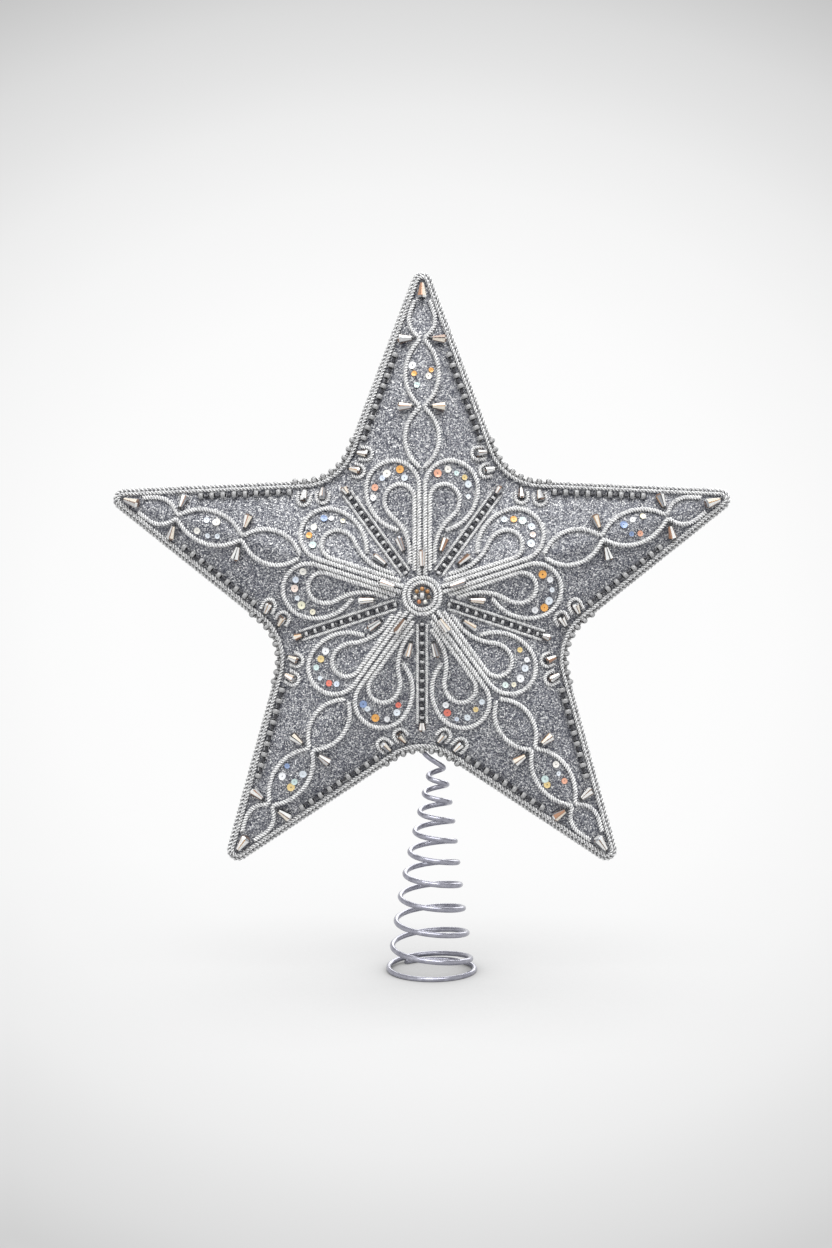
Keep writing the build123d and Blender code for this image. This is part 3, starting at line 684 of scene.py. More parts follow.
flat_places = [v.co.copy() for v in cover.data.vertices]
held = cover.vertex_groups.new(name="held")
for n, place in enumerate(flat_places):
    line_gap = line_tree.find(place)[2] / MM
    edge_gap = edge_tree.find(place)[2] / MM
    if line_gap < HELD_LINE or edge_gap < HELD_EDGE:
        held.add([n], 1.0, "REPLACE")

only(cover)
cloth = cover.modifiers.new("cloth", "CLOTH")
cloth.settings.vertex_group_mass = "held"
cloth.settings.use_pressure = True
cloth.settings.uniform_pressure_force = PUFF_PRESSURE
cloth.settings.quality = CLOTH_QUALITY
cloth.settings.effector_weights.gravity = 0
cloth.point_cache.frame_end = SWELL_FRAMES
for step in range(1, SWELL_FRAMES + 1):
    scene.frame_set(step)
bpy.ops.object.modifier_apply(modifier="cloth")
scene.frame_set(1)

moves = []
for vertex, flat in zip(cover.data.vertices, flat_places):
    move = vertex.co - flat
    moves.append(move.length)
    if move.length > PUFF_CAP:
        vertex.co = flat + move * (PUFF_CAP / move.length)
print("swelling in mm: most", round(max(moves) / MM, 2), "mean", round(sum(moves) / len(moves) / MM, 2))

# %% Turn the edge of the cover to the back
start_edit(cover)
pick(cover, "EDGE", lambda e: e.is_boundary)
bpy.ops.mesh.extrude_region_move()
pick(cover, "VERT", lambda v: v.is_boundary)
bpy.ops.transform.resize(value=(1, 0, 1), center_override=(0, -BACK_OF_CLOTH * MM, 0))
bpy.ops.mesh.fill()
face_outward()
end_edit()
smooth(cover, 35)
print("cover:", len(cover.data.polygons), "faces")

# %% [markdown]
# The cloth is covered in glitter: flakes about half a millimetre wide, each lying at its own small
# angle and with its own brightness. Voronoi cells on Object coordinates give one random colour per
# flake, which sets both the shade and the tilt of the normal. A wide soft noise keeps it uneven.

# %% Helpers for finishes
def object_noise(nodes, links, scale, detail=2.0):
    noise = nodes.new("ShaderNodeTexNoise")
    noise.inputs["Scale"].default_value = scale
    noise.inputs["Detail"].default_value = detail
    links.new(nodes.new("ShaderNodeTexCoord").outputs["Object"], noise.inputs["Vector"])
    return noise.outputs["Fac"]


def mottle(nodes, links, scale, dark, light, detail=2.0, low=0.3, high=0.7):
    """A colour that wanders between dark and light with a noise."""
    return ramp(nodes, links, object_noise(nodes, links, scale, detail), [(low, dark), (high, light)])


def multiply(nodes, links, a, b):
    mix = nodes.new("ShaderNodeMix")
    mix.data_type = "RGBA"
    mix.blend_type = "MULTIPLY"
    mix.inputs["Factor"].default_value = 1.0
    links.new(a, mix.inputs["A"])
    links.new(b, mix.inputs["B"])
    return mix.outputs["Result"]


def tilt_normals(nodes, links, random_colour, amount):
    """The surface normal, pushed aside by a random colour."""
    centred = vector_math(nodes, links, "SUBTRACT", random_colour, grey(0.5))
    normal = nodes.new("ShaderNodeNewGeometry").outputs["Normal"]
    pushed = vector_math(nodes, links, "MULTIPLY_ADD", centred, grey(amount), normal)
    return vector_math(nodes, links, "NORMALIZE", pushed)


def flakes(nodes, links, width):
    """One random colour and one random value per flake of that width, in metres."""
    cells = nodes.new("ShaderNodeTexVoronoi")
    cells.inputs["Scale"].default_value = 1 / width
    links.new(nodes.new("ShaderNodeTexCoord").outputs["Object"], cells.inputs["Vector"])
    parts = nodes.new("ShaderNodeSeparateColor")
    links.new(cells.outputs["Color"], parts.inputs[0])
    return cells.outputs["Color"], parts.outputs[0]

# %% Glitter cloth
FLAKE_WIDTH = 0.45 * MM
FLAKE_TILT = 0.35
FLAKE_LEVELS = [
    (0.00, (0.022, 0.024, 0.040)), (0.20, (0.065, 0.070, 0.095)), (0.50, (0.190, 0.195, 0.220)),
    (0.75, (0.330, 0.336, 0.355)), (0.90, (0.600, 0.605, 0.615)), (0.97, (0.900, 0.900, 0.890)),
]
CLOUD_SCALE = 260


def glitter_cloth():
    values = {"Metallic": 0.15, "Roughness": 0.42}
    material, nodes, links, shader = new_finish("glitter_cloth", values)
    colour, level = flakes(nodes, links, FLAKE_WIDTH)
    grain = ramp(nodes, links, level, FLAKE_LEVELS)
    clouds = mottle(nodes, links, CLOUD_SCALE, grey(0.82), grey(1.0))
    links.new(multiply(nodes, links, grain, clouds), shader.inputs["Base Color"])
    links.new(tilt_normals(nodes, links, colour, FLAKE_TILT), shader.inputs["Normal"])
    return material


GLITTER = glitter_cloth()
dress(cover, GLITTER)
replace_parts(cover, "front_panel", "padding")
print("glitter cloth on", cover.name)

# %% [markdown]
# ## Cords
# The silver cord is two strands laid together. A curve follows each line, with a profile of
# two round lobes that turns as it goes, so that the mesh itself is twisted, and not only its
# shading. Closed cords have a whole number of twists, so that their ends meet. A point's tilt stays
# within one turn, because Blender cuts off a tilt of more than 60 turns.

# %% Twisted cord
STRANDS = 2
POINTS_PER_STRAND = 5
FINE_LAY = 1.2
RIM_LAY = 1.9
WAIST = 0.6
LIFT_INTO_CLOTH = 0.1
PLUMP = 1.08


def cord_profile(diameter):
    """A closed outline of round strands side by side."""
    half = diameter / 2 * PLUMP
    strand = half / (1 + 1 / math.sin(math.pi / STRANDS))
    offset = half - strand
    curve = bpy.data.curves.new("cord_profile", "CURVE")
    spline = curve.splines.new("POLY")
    spline.points.add(STRANDS * POINTS_PER_STRAND - 1)
    spline.use_cyclic_u = True
    for n, point in enumerate(spline.points):
        around = (n + 0.5) / POINTS_PER_STRAND
        aside = (around % 1 - 0.5) * 2 * math.pi / STRANDS
        radius = offset * math.cos(aside) + math.sqrt(max(0, strand ** 2 - (offset * math.sin(aside)) ** 2))
        radius = max(radius, WAIST * half)
        angle = around * 2 * math.pi / STRANDS
        point.co = (radius * math.cos(angle) * MM, radius * math.sin(angle) * MM, 0, 1)
    profile = bpy.data.objects.new("cord_profile", curve)
    scene.collection.objects.link(profile)
    return profile


def line_curve(name, lines, closed=False):
    """A curve of short straight runs along each line of upright places."""
    curve = bpy.data.curves.new(name, "CURVE")
    curve.dimensions = "3D"
    curve.twist_mode = "MINIMUM"
    curve.use_fill_caps = True
    for line in lines:
        spline = curve.splines.new("POLY")
        spline.points.add(len(line) - 1)
        spline.use_cyclic_u = closed
        for point, place in zip(spline.points, line):
            point.co = (*place, 1)
    return curve


def curve_mesh(name, curve):
    """The mesh that a curve and its profile make."""
    piece = bpy.data.objects.new(name, curve)
    scene.collection.objects.link(piece)
    only(piece)
    bpy.ops.object.convert(target="MESH")
    return bpy.context.object


def twisted_cord(name, lines, diameter, lay=FINE_LAY, closed=False):
    """A mesh of twisted cord along each line of upright places. The lay is in diameters for a twist."""
    profile = cord_profile(diameter)
    curve = line_curve(name, lines, closed)
    curve.bevel_mode = "OBJECT"
    curve.bevel_object = profile
    for spline, line in zip(curve.splines, lines):
        length = sum((b - a).length for a, b in zip(line, line[1:]))
        length += (line[0] - line[-1]).length if closed else 0
        twists = length / (lay * diameter * MM)
        twists = round(twists) if closed else twists
        gone = 0.0
        for n, place in enumerate(line):
            gone += (place - line[n - 1]).length if n else 0
            spline.points[n].tilt = 2 * math.pi * (twists * gone / length % 1)
    piece = curve_mesh(name, curve)
    bpy.data.objects.remove(profile)
    start_edit(piece)
    face_outward()
    end_edit()
    # Marks the grooves between the strands, where painted shade goes.
    groove = piece.data.attributes.new("groove", "FLOAT", "POINT")
    edges = (0, POINTS_PER_STRAND - 1)
    groove.data.foreach_set("value", [n % POINTS_PER_STRAND in edges for n in range(len(groove.data))])
    smooth(piece, 60)
    return piece

# %% [markdown]
# The threads of the cord are silver and white and a little worn. The grooves between the strands get
# painted shade: the profile's inner points mark the groove as an attribute, so the painted shade
# follows the twist.

# %% Silver cord
FLECK_WIDTH = 0.7 * MM
FLECK_TILT = 0.3
FLECK_LEVELS = [(0.0, (0.46, 0.46, 0.48)), (0.3, (0.90, 0.90, 0.90)), (0.6, (1.0, 1.0, 0.99))]
WEAR_SCALE = 400
WORN = 0.9


def silver_cord(name, light, groove_shade):
    material, nodes, links, shader = new_finish(name, {"Roughness": 0.5})
    colour, level = flakes(nodes, links, FLECK_WIDTH)
    thread = ramp(nodes, links, level, FLECK_LEVELS)
    wear = mottle(nodes, links, WEAR_SCALE, grey(WORN * light), grey(light))
    groove = nodes.new("ShaderNodeAttribute")
    groove.attribute_name = "groove"
    # Painted shade in the grooves between the strands.
    depth = ramp(nodes, links, groove.outputs["Fac"], [(0.15, grey(1.0)), (0.85, grey(groove_shade))])
    worn_thread = multiply(nodes, links, thread, wear)
    links.new(multiply(nodes, links, worn_thread, depth), shader.inputs["Base Color"])
    links.new(tilt_normals(nodes, links, colour, FLECK_TILT), shader.inputs["Normal"])
    return material


SILVER = silver_cord("silver_cord", light=1.0, groove_shade=0.5)
# A darker copy of the silver with deeper groove shade: painted shade on the rim and border cords, which
# face the high lamp.
SHADED_RIM_SILVER = silver_cord("rim_silver_shaded", light=0.95, groove_shade=0.3)
print("cord finishes:", SILVER.name, "and", SHADED_RIM_SILVER.name)

# %% Cords of the arms
for arm in range(ARMS):
    for kind, (lines, thick) in facet_lines.items():
        lift = thick / 2 + SEAT - LIFT_INTO_CLOTH
        laid = [[facet_place(p, lift, arm, side) for p in line] for line in lines for side in SIDES]
        piece = twisted_cord(f"arm_{arm + 1}_{kind}_twist", laid, thick)
        dress(piece, SILVER)
        node = "notch_loops" if kind == "notch_loop" else f"{kind}_cords"
        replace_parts(piece, f"arm_{arm + 1}_{node}")
print("cords of one arm:", list(facet_lines))

# %% [markdown]
# The other cords are closed: the rim cord against the turned edge of the cloth, the border cord just
# inside it, and the two rings of the rosette. Each lies level, so it is drawn flat at one height.

# %% Rim, border and rosette cords
RIM_CORD = 2.0
ROSETTE_CORD = 2.0
ROSETTE_RADIUS = 6.0
RING_STEPS = 140


def flat_ring(points, height):
    return [stand(Vector((p.x, p.y, height))) for p in points]


def crown_height(radius, thick):
    """Height of the middle of a ring, thick as given, that lies on the crown of the star."""
    return PEAK.z - CROWN_FALL / TIP_RADIUS * (radius - thick / 2) + thick / 2 + SEAT


RIM_HEIGHT = cloth_height(*notch_spot(CLOTH_EDGE)) - RIM_CORD / 2
rim_line = flat_ring(star_line(CLOTH_EDGE + SEAT + RIM_CORD / 2), RIM_HEIGHT)
rim = twisted_cord("rim_twist", [rim_line], RIM_CORD, RIM_LAY, closed=True)
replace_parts(dress(rim, SHADED_RIM_SILVER), "rim_cord")

border_height = cloth_height(0, TIP_REACH - BORDER_CORD) + BORDER_CORD / 2 / NORMAL.z + SEAT
border_line = flat_ring(star_line(CLOTH_EDGE - BORDER_CORD / 2), border_height)
border = twisted_cord("border_twist", [border_line], BORDER_CORD, RIM_LAY, closed=True)
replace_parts(dress(border, SHADED_RIM_SILVER), "border_cord")

rings = []
for radius in (ROSETTE_RADIUS, ROSETTE_RADIUS + ROSETTE_CORD + SEAT):
    circle = [unit_way(2 * math.pi * k / RING_STEPS) * radius for k in range(RING_STEPS)]
    rings.append(flat_ring(circle, crown_height(radius, ROSETTE_CORD)))
rosette = twisted_cord("rosette_twist", rings, ROSETTE_CORD, closed=True)
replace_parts(dress(rosette, SILVER), "rosette_rings")
print("rim", len(rim.data.polygons), "border", len(border.data.polygons), "faces")

# %% [markdown]
# ## Beads
# A seed bead is a short ball with a thread hole. One small ball is modelled, its poles are pushed
# in to show the hole, and it is copied to every place. Copies of one kind are joined in one piece.

# %% Bead models and copies
BEAD_POLE = 0.49
BEAD_HOLE_SINK = 0.55
BUGLE_WALL = 0.3
BUGLE_HOLE_SINK = 0.12


def model_bead():
    """A bead of diameter 1 with its thread hole along Z."""
    bpy.ops.mesh.primitive_uv_sphere_add(segments=10, ring_count=7, radius=0.5)
    bead = bpy.context.object
    bead.name = "bead_model"
    start_edit(bead)
    pick(bead, "VERT", lambda v: abs(v.co.z) > BEAD_POLE)
    bpy.ops.transform.resize(value=(1, 1, BEAD_HOLE_SINK), center_override=(0, 0, 0))
    end_edit()
    bpy.ops.object.shade_smooth()
    return bead


def model_bugle(length, diameter):
    """A short glass tube along Z with a sunk hole at each end."""
    bpy.ops.mesh.primitive_cylinder_add(vertices=8, radius=diameter / 2, depth=length)
    bugle = bpy.context.object
    bugle.name = "bugle_model"
    start_edit(bugle)
    pick(bugle, "FACE", lambda f: abs(f.normal.z) > 0.9)
    bpy.ops.mesh.inset(thickness=diameter * BUGLE_WALL, depth=-diameter * BUGLE_HOLE_SINK)
    end_edit()
    smooth(bugle, 50)
    return bugle


def seat(place, along, up, size=1.0):
    """Matrix that puts a model at a place, with its Z along one way and its Y towards another."""
    along = along.normalized()
    side = up.cross(along).normalized()
    turned = Matrix((side, along.cross(side), along)).transposed().to_4x4()
    return Matrix.Translation(place) @ turned @ Matrix.Scale(size, 4)


def copies(name, model, places, tints=None):
    """Copies of a model, each with its own mesh, joined in one piece."""
    made = []
    for n, matrix in enumerate(places):
        copy = bpy.data.objects.new(name, model.data.copy())
        copy.data.transform(matrix)
        if tints:
            layer = copy.data.attributes.new("tint", "FLOAT_COLOR", "FACE")
            for face, colour in zip(layer.data, tints[n]):
                face.color = (*colour, 1)
        scene.collection.objects.link(copy)
        made.append(copy)
    bpy.ops.object.select_all(action="DESELECT")
    for copy in made:
        copy.select_set(True)
    bpy.context.view_layer.objects.active = made[0]
    if len(made) > 1:
        bpy.ops.object.join()
    piece = bpy.context.view_layer.objects.active
    piece.name = name
    return piece


def sew_on(name, node, model, places, finish, tints=None):
    """Copies of a model in their places, as the finished piece for a node."""
    piece = copies(name, model, places, tints)
    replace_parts(dress(piece, finish), node)
    return piece


bead_model = model_bead()
print("bead model:", len(bead_model.data.polygons), "faces")

# %% [markdown]
# Clear beads are pale round their belt, with painted shade at their thread holes, and tinted beads
# each have a colour of their own. So the tint is kept on the faces, and one glossy finish reads it.
# Black glass needs no tint, only faint streaks.

# %% Glass of the beads
FILM_SCALE = 1200
STREAK_SCALE = 900
BELT_HALF = 0.36
# Painted shade in the bead's thread holes.
HOLE_SHADE = 0.02


def tinted(name, roughness, metallic, coat, transmission=0.0):
    """A glossy finish whose colour is kept on the faces of the piece."""
    values = {
        "Roughness": roughness, "Metallic": metallic, "Transmission Weight": transmission,
        "Coat Weight": coat, "Coat Roughness": 0.05,
    }
    material, nodes, links, shader = new_finish(name, values)
    tint = nodes.new("ShaderNodeAttribute")
    tint.attribute_name = "tint"
    film = mottle(nodes, links, FILM_SCALE, grey(0.85), grey(1.0))
    links.new(multiply(nodes, links, tint.outputs["Color"], film), shader.inputs["Base Color"])
    return material


def black_glass():
    material, nodes, links, shader = new_finish("dark_glass", {"Roughness": 0.15, "IOR": 1.5})
    deep, pale = (0.039, 0.039, 0.04524), (0.056, 0.056, 0.06496)
    streaks = mottle(nodes, links, STREAK_SCALE, deep, pale, low=0.35, high=0.65)
    links.new(streaks, shader.inputs["Base Color"])
    return material


def bead_tints(model, light):
    """A light belt and painted shade in the thread holes, for the faces of the bead model."""
    return [grey(light if abs(f.center.z) < BELT_HALF else HOLE_SHADE) for f in model.data.polygons]


CLEAR_GLASS = tinted("clear_glass", 0.05, 0.0, 0.3, 0.35)
DARK_GLASS = black_glass()
BRIGHT_BEAD = bead_tints(bead_model, 0.85)
GREY_BEAD = bead_tints(bead_model, 0.55)
print("glass:", CLEAR_GLASS.name, "and", DARK_GLASS.name)

# %% [markdown]
# Inside the border cord runs a row of clear beads with short dark tubes between them, threaded along
# the edge. The row is laid out once along one facet's edge and is the same on all ten facets.

# %% Border rows
BORDER_BEAD = 3.1
BUGLE_LENGTH = 1.6
BUGLE_DIAMETER = 1.3
BORDER_PITCH = 5.0
BORDER_FROM_NOTCH = 22.6
CROSSING_DROP_BROAD = 4.0
BORDER_DEPTH = beside_border(BORDER_BEAD / 2)
border_end = CROSSINGS[0] - CROSSING_DROP_BROAD / 2 - BORDER_BEAD
border_run = border_end - edge_spot(BORDER_FROM_NOTCH, 0).x
BORDER_COUNT = int(border_run / (-EDGE_WAY.x * BORDER_PITCH)) + 1


def along_border(steps, lift):
    """Places along the border row on all facets, with beads threaded along the edge."""
    places = []
    for facet in FACETS:
        way = facet_way(EDGE_WAY.x, EDGE_WAY.y, 0, *facet)
        up = facet_way(0, 0, 1, *facet)
        for step in steps:
            spot = edge_spot(BORDER_FROM_NOTCH + step * BORDER_PITCH, BORDER_DEPTH)
            places.append((facet_place(spot, lift, *facet), way, up))
    return places


clear_places = along_border(range(BORDER_COUNT), BORDER_BEAD / 2 + SEAT)
clear_seats = [seat(*p, BORDER_BEAD * MM) for p in clear_places]
tints = [GREY_BEAD] * len(clear_seats)
sew_on("border_clear", "border_clear_beads", bead_model, clear_seats, CLEAR_GLASS, tints)
bugle_model = model_bugle(BUGLE_LENGTH * MM, BUGLE_DIAMETER * MM)
dark_places = along_border([n + 0.5 for n in range(BORDER_COUNT - 1)], BUGLE_DIAMETER / 2 + SEAT)
dark_seats = [seat(*p) for p in dark_places]
sew_on("border_dark", "border_dark_beads", bugle_model, dark_seats, DARK_GLASS)
print("border:", len(clear_places), "clear beads and", len(dark_places), "dark ones")

# %% [markdown]
# A rib runs down each valley between two arms: clear beads in a row, and a pair of small dark ones
# between each two, which lie on the facets at either side. Round each notch, seed beads sit on the
# rim cord and follow its bend.

# %% Beads along the ribs
RIB_CLEAR_BEAD = 2.1
RIB_DARK_BEAD = 1.3
RIB_DARK_HALF = 0.8
RIB_BEAD_PITCH = 4.3
VALLEY = TO_NOTCH.normalized()
VALLEY_UP = VALLEY.cross(Vector((0, 0, 1)).cross(VALLEY)).normalized()
VALLEY_RISE = VALLEY_UP.dot(NORMAL)
rib_gaps = int((RIB_END - RIB_START) / RIB_BEAD_PITCH)
RIB_PLACES = [RIB_START + n * RIB_BEAD_PITCH for n in range(rib_gaps + 1)]

rib_clear_seats = []
rib_dark_seats = []
for arm in range(ARMS):
    way, up = arm_way(VALLEY, arm), arm_way(VALLEY_UP, arm)
    for r in RIB_PLACES:
        flat = PEAK + VALLEY * r + VALLEY_UP * (RIB_CLEAR_BEAD / 2 / VALLEY_RISE + SEAT)
        rib_clear_seats.append(seat(arm_place(flat, arm), way, up, RIB_CLEAR_BEAD * MM))
    for r in RIB_PLACES[:-1]:
        spot = VALLEY_WAY * (r + RIB_BEAD_PITCH / 2) + VALLEY_INWARD * RIB_DARK_HALF
        for side in SIDES:
            place = facet_place(spot, RIB_DARK_BEAD / 2 + SEAT, arm, side)
            rib_dark_seats.append(seat(place, way, up, RIB_DARK_BEAD * MM))
tints = [BRIGHT_BEAD] * len(rib_clear_seats)
sew_on("rib_clear", "rib_clear_beads", bead_model, rib_clear_seats, CLEAR_GLASS, tints)
sew_on("rib_dark", "rib_dark_beads", bead_model, rib_dark_seats, DARK_GLASS)
print("ribs:", len(rib_clear_seats), "clear beads and", len(rib_dark_seats), "dark ones")

# %% Seed beads round the notches
FRONT = Vector((0, -1, 0))
NOTCH_BEAD = 2.8
NOTCH_BEAD_COUNT = 9
NOTCH_BEAD_PITCH = 4.3


def notch_point(d, x):
    """A point of the outline near a notch, x along it, and the way along it there."""
    bend = NOTCH_ROUND - d
    middle = notch_corner(d) + bend / math.sin(NOTCH_ANGLE)
    half = math.pi / 2 - NOTCH_ANGLE
    angle = max(-half, min(half, x / bend))
    rest = x - angle * bend
    out = middle - bend * math.cos(angle) + rest * math.sin(angle)
    aside = bend * math.sin(angle) + rest * math.cos(angle)
    c, s = math.cos(TURN / 2), math.sin(TURN / 2)
    way = (math.sin(angle), math.cos(angle))
    place = Vector((out * s + aside * c, out * c - aside * s))
    return place, Vector((way[0] * s + way[1] * c, way[0] * c - way[1] * s, 0))


notch_seats = []
notch_d = CLOTH_EDGE + NOTCH_BEAD / 2 + SEAT
notch_aside = notch_d - CLOTH_EDGE - SEAT - RIM_CORD / 2
NOTCH_RISE = math.sqrt(((RIM_CORD + NOTCH_BEAD) / 2 + SEAT) ** 2 - notch_aside ** 2)
for arm in range(ARMS):
    for n in range(NOTCH_BEAD_COUNT):
        place, way = notch_point(notch_d, (n - (NOTCH_BEAD_COUNT - 1) / 2) * NOTCH_BEAD_PITCH)
        flat = Vector((place.x, place.y, RIM_HEIGHT + NOTCH_RISE))
        notch_seats.append(seat(arm_place(flat, arm), arm_way(way, arm), FRONT, NOTCH_BEAD * MM))
tints = [GREY_BEAD] * len(notch_seats)
sew_on("notch_seeds", "notch_seed_beads", bead_model, notch_seats, CLEAR_GLASS, tints)
print("notches:", len(notch_seats), "seed beads")

# %% [markdown]
# ## Rosette
# A ring of brown, gold and dark beads lies inside the two cord rings, round one clear bead. Every
# bead has its own tint, kept on its faces, so that one material serves them all.

# %% Rosette beads
ROSETTE_BEAD = 2.1
ROSETTE_BEAD_COUNT = 7
ROSETTE_BEAD_CIRCLE = 3.0
CENTRE_BEAD = 3.0
ROSETTE_TINTS = (
    (0.46, 0.22, 0.07), (0.40, 0.19, 0.06), (0.14, 0.10, 0.07), (0.80, 0.78, 0.72),
    (0.52, 0.20, 0.08), (0.66, 0.64, 0.60), (0.34, 0.19, 0.07),
)

AMBER_GLASS = tinted("amber_glass", 0.1, 0.2, 0.6)
rosette_seats = []
height = crown_height(ROSETTE_BEAD_CIRCLE, ROSETTE_BEAD)
for n in range(ROSETTE_BEAD_COUNT):
    a = 2 * math.pi * n / ROSETTE_BEAD_COUNT
    flat = Vector((ROSETTE_BEAD_CIRCLE * math.sin(a), ROSETTE_BEAD_CIRCLE * math.cos(a), height))
    along = Vector((math.cos(a), 0, -math.sin(a)))
    rosette_seats.append(seat(stand(flat), along, FRONT, ROSETTE_BEAD * MM))
bead_faces = len(bead_model.data.polygons)
tints = [[colour] * bead_faces for colour in ROSETTE_TINTS]
sew_on("rosette_ring_beads", "rosette_beads", bead_model, rosette_seats, AMBER_GLASS, tints)
centre_place = stand(PEAK + Vector((0, 0, CENTRE_BEAD / 2 + SEAT)))
centre_seats = [seat(centre_place, Vector((1, 0, 0)), FRONT, CENTRE_BEAD * MM)]
tints = [BRIGHT_BEAD]
sew_on("rosette_middle", "rosette_centre_bead", bead_model, centre_seats, CLEAR_GLASS, tints)
print("rosette:", len(rosette_seats), "beads and one in the middle")

# %% [markdown]
# ## Cut-glass drops
# The drops are six-sided tapered beads with a silvered back. Their flat sides throw back white,
# brown, amber or black patches, and these reflections are painted: each side has its own tint, a
# painted highlight on the sides that face up and painted shade on the low ones. A cone has its long
# edges bevelled into narrow sides, which make the stripes of painted reflection. It is given its
# shoulder by extruding and shrinking the broad end, and a cut near the narrow end makes the collar.

# %% Drop models
DROP_SHOULDER = 0.8
DROP_END = 0.75
DROP_COLLAR = 1.1
WHITE = (0.90, 0.90, 0.88)
CREAM = (0.84, 0.77, 0.66)
AMBER = (0.52, 0.30, 0.13)
COPPER = (0.42, 0.22, 0.13)
BROWN = (0.20, 0.12, 0.08)
STEEL = (0.30, 0.31, 0.33)
BLACK = (0.015, 0.015, 0.017)
SILVER_GREY = (0.58, 0.58, 0.58)
# The side tints are painted reflections: white and cream are painted highlights on the sides that face up,
# and the dark low sides are painted shade.
HIGHLIGHT_SIDES = (WHITE, WHITE, WHITE, CREAM)
REFLECTION_SIDES = (WHITE, WHITE, SILVER_GREY, SILVER_GREY, CREAM, STEEL, STEEL, BROWN, COPPER)
SHADED_LOW_SIDES = (BLACK, BROWN, STEEL)
REFLECTION_STRIPES = (BLACK, BROWN, BROWN, COPPER, AMBER, STEEL)
SHOULDER_REFLECTIONS = (STEEL, BROWN, BLACK, WHITE)
STRIPE_PERCENT = 14
SIXTH = math.pi / 3
RIDGE_UP_SHARE = 0.8
draw = random.Random(11)


def model_drop(length, narrow, broad):
    """A drop along Z from its narrow end, sized in mm across its flats."""
    across = 2 * math.cos(math.pi / 6)
    body = length - DROP_SHOULDER
    bpy.ops.mesh.primitive_cone_add(
        vertices=6, radius1=narrow / across * MM, radius2=broad / across * MM, depth=body * MM,
        location=(0, 0, body / 2 * MM), end_fill_type="NGON")
    piece = bpy.context.object
    piece.name = "drop_model"
    bpy.ops.object.transform_apply(location=True, rotation=True, scale=True)
    start_edit(piece)
    pick(piece, "EDGE", lambda e: abs(e.verts[0].co.z - e.verts[1].co.z) > body / 2 * MM)
    bpy.ops.mesh.bevel(offset_type="PERCENT", offset_pct=STRIPE_PERCENT, segments=1)
    pick(piece, "FACE", lambda f: f.normal.z > 0.9)
    bpy.ops.mesh.extrude_region_move(TRANSFORM_OT_translate={"value": (0, 0, DROP_SHOULDER * MM)})
    bpy.ops.transform.resize(value=(DROP_END, DROP_END, 1), center_override=(0, 0, length * MM))
    bpy.ops.mesh.select_all(action="SELECT")
    bpy.ops.mesh.bisect(plane_co=(0, 0, DROP_COLLAR * MM), plane_no=(0, 0, 1))
    end_edit()
    return piece


def painted_drop_reflections(model, length, ridge_up):
    """Tints per face, painted highlight and shade: light and deep sides, stripes, a dark collar and
    shoulder.

    A face is known by its place, because Blender may number a mesh's faces anew in each run.
    """
    # The sides that face up get painted highlights, the low ones painted shade.
    upper = [1, 2] if ridge_up else [0, 1, 2]
    sides = [draw.choice(SHADED_LOW_SIDES) for n in range(6)]
    for n in upper:
        sides[n] = draw.choice(REFLECTION_SIDES)
    sides[draw.choice(upper) if ridge_up else 1] = draw.choice(HIGHLIGHT_SIDES)
    stripes = [draw.choice(REFLECTION_STRIPES) for n in range(6)]
    shoulders = [draw.choice(SHOULDER_REFLECTIONS) for n in range(12)]
    end = draw.choice(SHOULDER_REFLECTIONS)
    tints = []
    for face in model.data.polygons:
        turn = round(math.atan2(face.center.y, face.center.x) / SIXTH * 2) % 12
        if face.center.z < DROP_COLLAR * MM:
            tints.append(BLACK)
        elif face.normal.z > 0.9:
            tints.append(end)
        elif face.center.z > (length - DROP_SHOULDER) * MM:
            tints.append(shoulders[turn])
        else:
            tints.append(stripes[turn // 2] if turn % 2 else sides[turn // 2])
    return tints


CUT_GLASS = tinted("cut_glass", 0.12, 0.25, 0.8)


def lay_drops(name, node, size, spots):
    """One kind of drop at its spots: a place on the cloth, the way it points and the way up."""
    length, narrow, broad = size
    model = model_drop(*size)
    places = []
    tints = []
    for place, way, up in spots:
        ridge_up = draw.random() < RIDGE_UP_SHARE
        half = broad / 2 / (math.cos(math.pi / 6) if ridge_up else 1)
        roll = Matrix.Rotation(0 if ridge_up else SIXTH / 2, 4, "Z")
        places.append(seat(place + up.normalized() * (half * MM), way, up) @ roll)
        tints.append(painted_drop_reflections(model, length, ridge_up))
    piece = sew_on(name, node, model, places, CUT_GLASS, tints)
    bpy.data.objects.remove(model)
    return len(piece.data.polygons)


print("drop sides:", len(set(HIGHLIGHT_SIDES + REFLECTION_SIDES + SHADED_LOW_SIDES)), "tints")

# %% Drops in their places
TIP_DROP = (8.0, 1.3, 4.4)
CROSSING_DROP = (7.3, 1.3, CROSSING_DROP_BROAD)
STEM_DROP = (8.2, 1.6, 3.0)
FLANK_DROP = (7.8, 1.5, 2.9)
NOTCH_DROP = (6.0, 1.3, 3.2)
RIB_DROP = (5.0, 1.2, 3.2)
STEM_DROP_START = 11.6
FLANK_DROP_START, FLANK_DROP_SIDE, FLANK_DROP_TURN = 19.0, 7.8, 21.0
CROSSING_DROP_CLEAR = 0.35
TIP_DROP_CLEAR = 1.0
RIDGE_UP = Vector((0, -ALONG.z, ALONG.y))


def line_spot(s, lift, way, up, arm, outward=1):
    """A spot on the ridge or in the valley of an arm, for a drop that points along it."""
    return arm_place(PEAK + way * s + up * lift, arm), arm_way(way, arm) * outward, arm_way(up, arm)


def facet_spot(spot, way, facet):
    return facet_place(spot, SEAT, *facet), facet_way(*way, 0, *facet), facet_way(0, 0, 1, *facet)


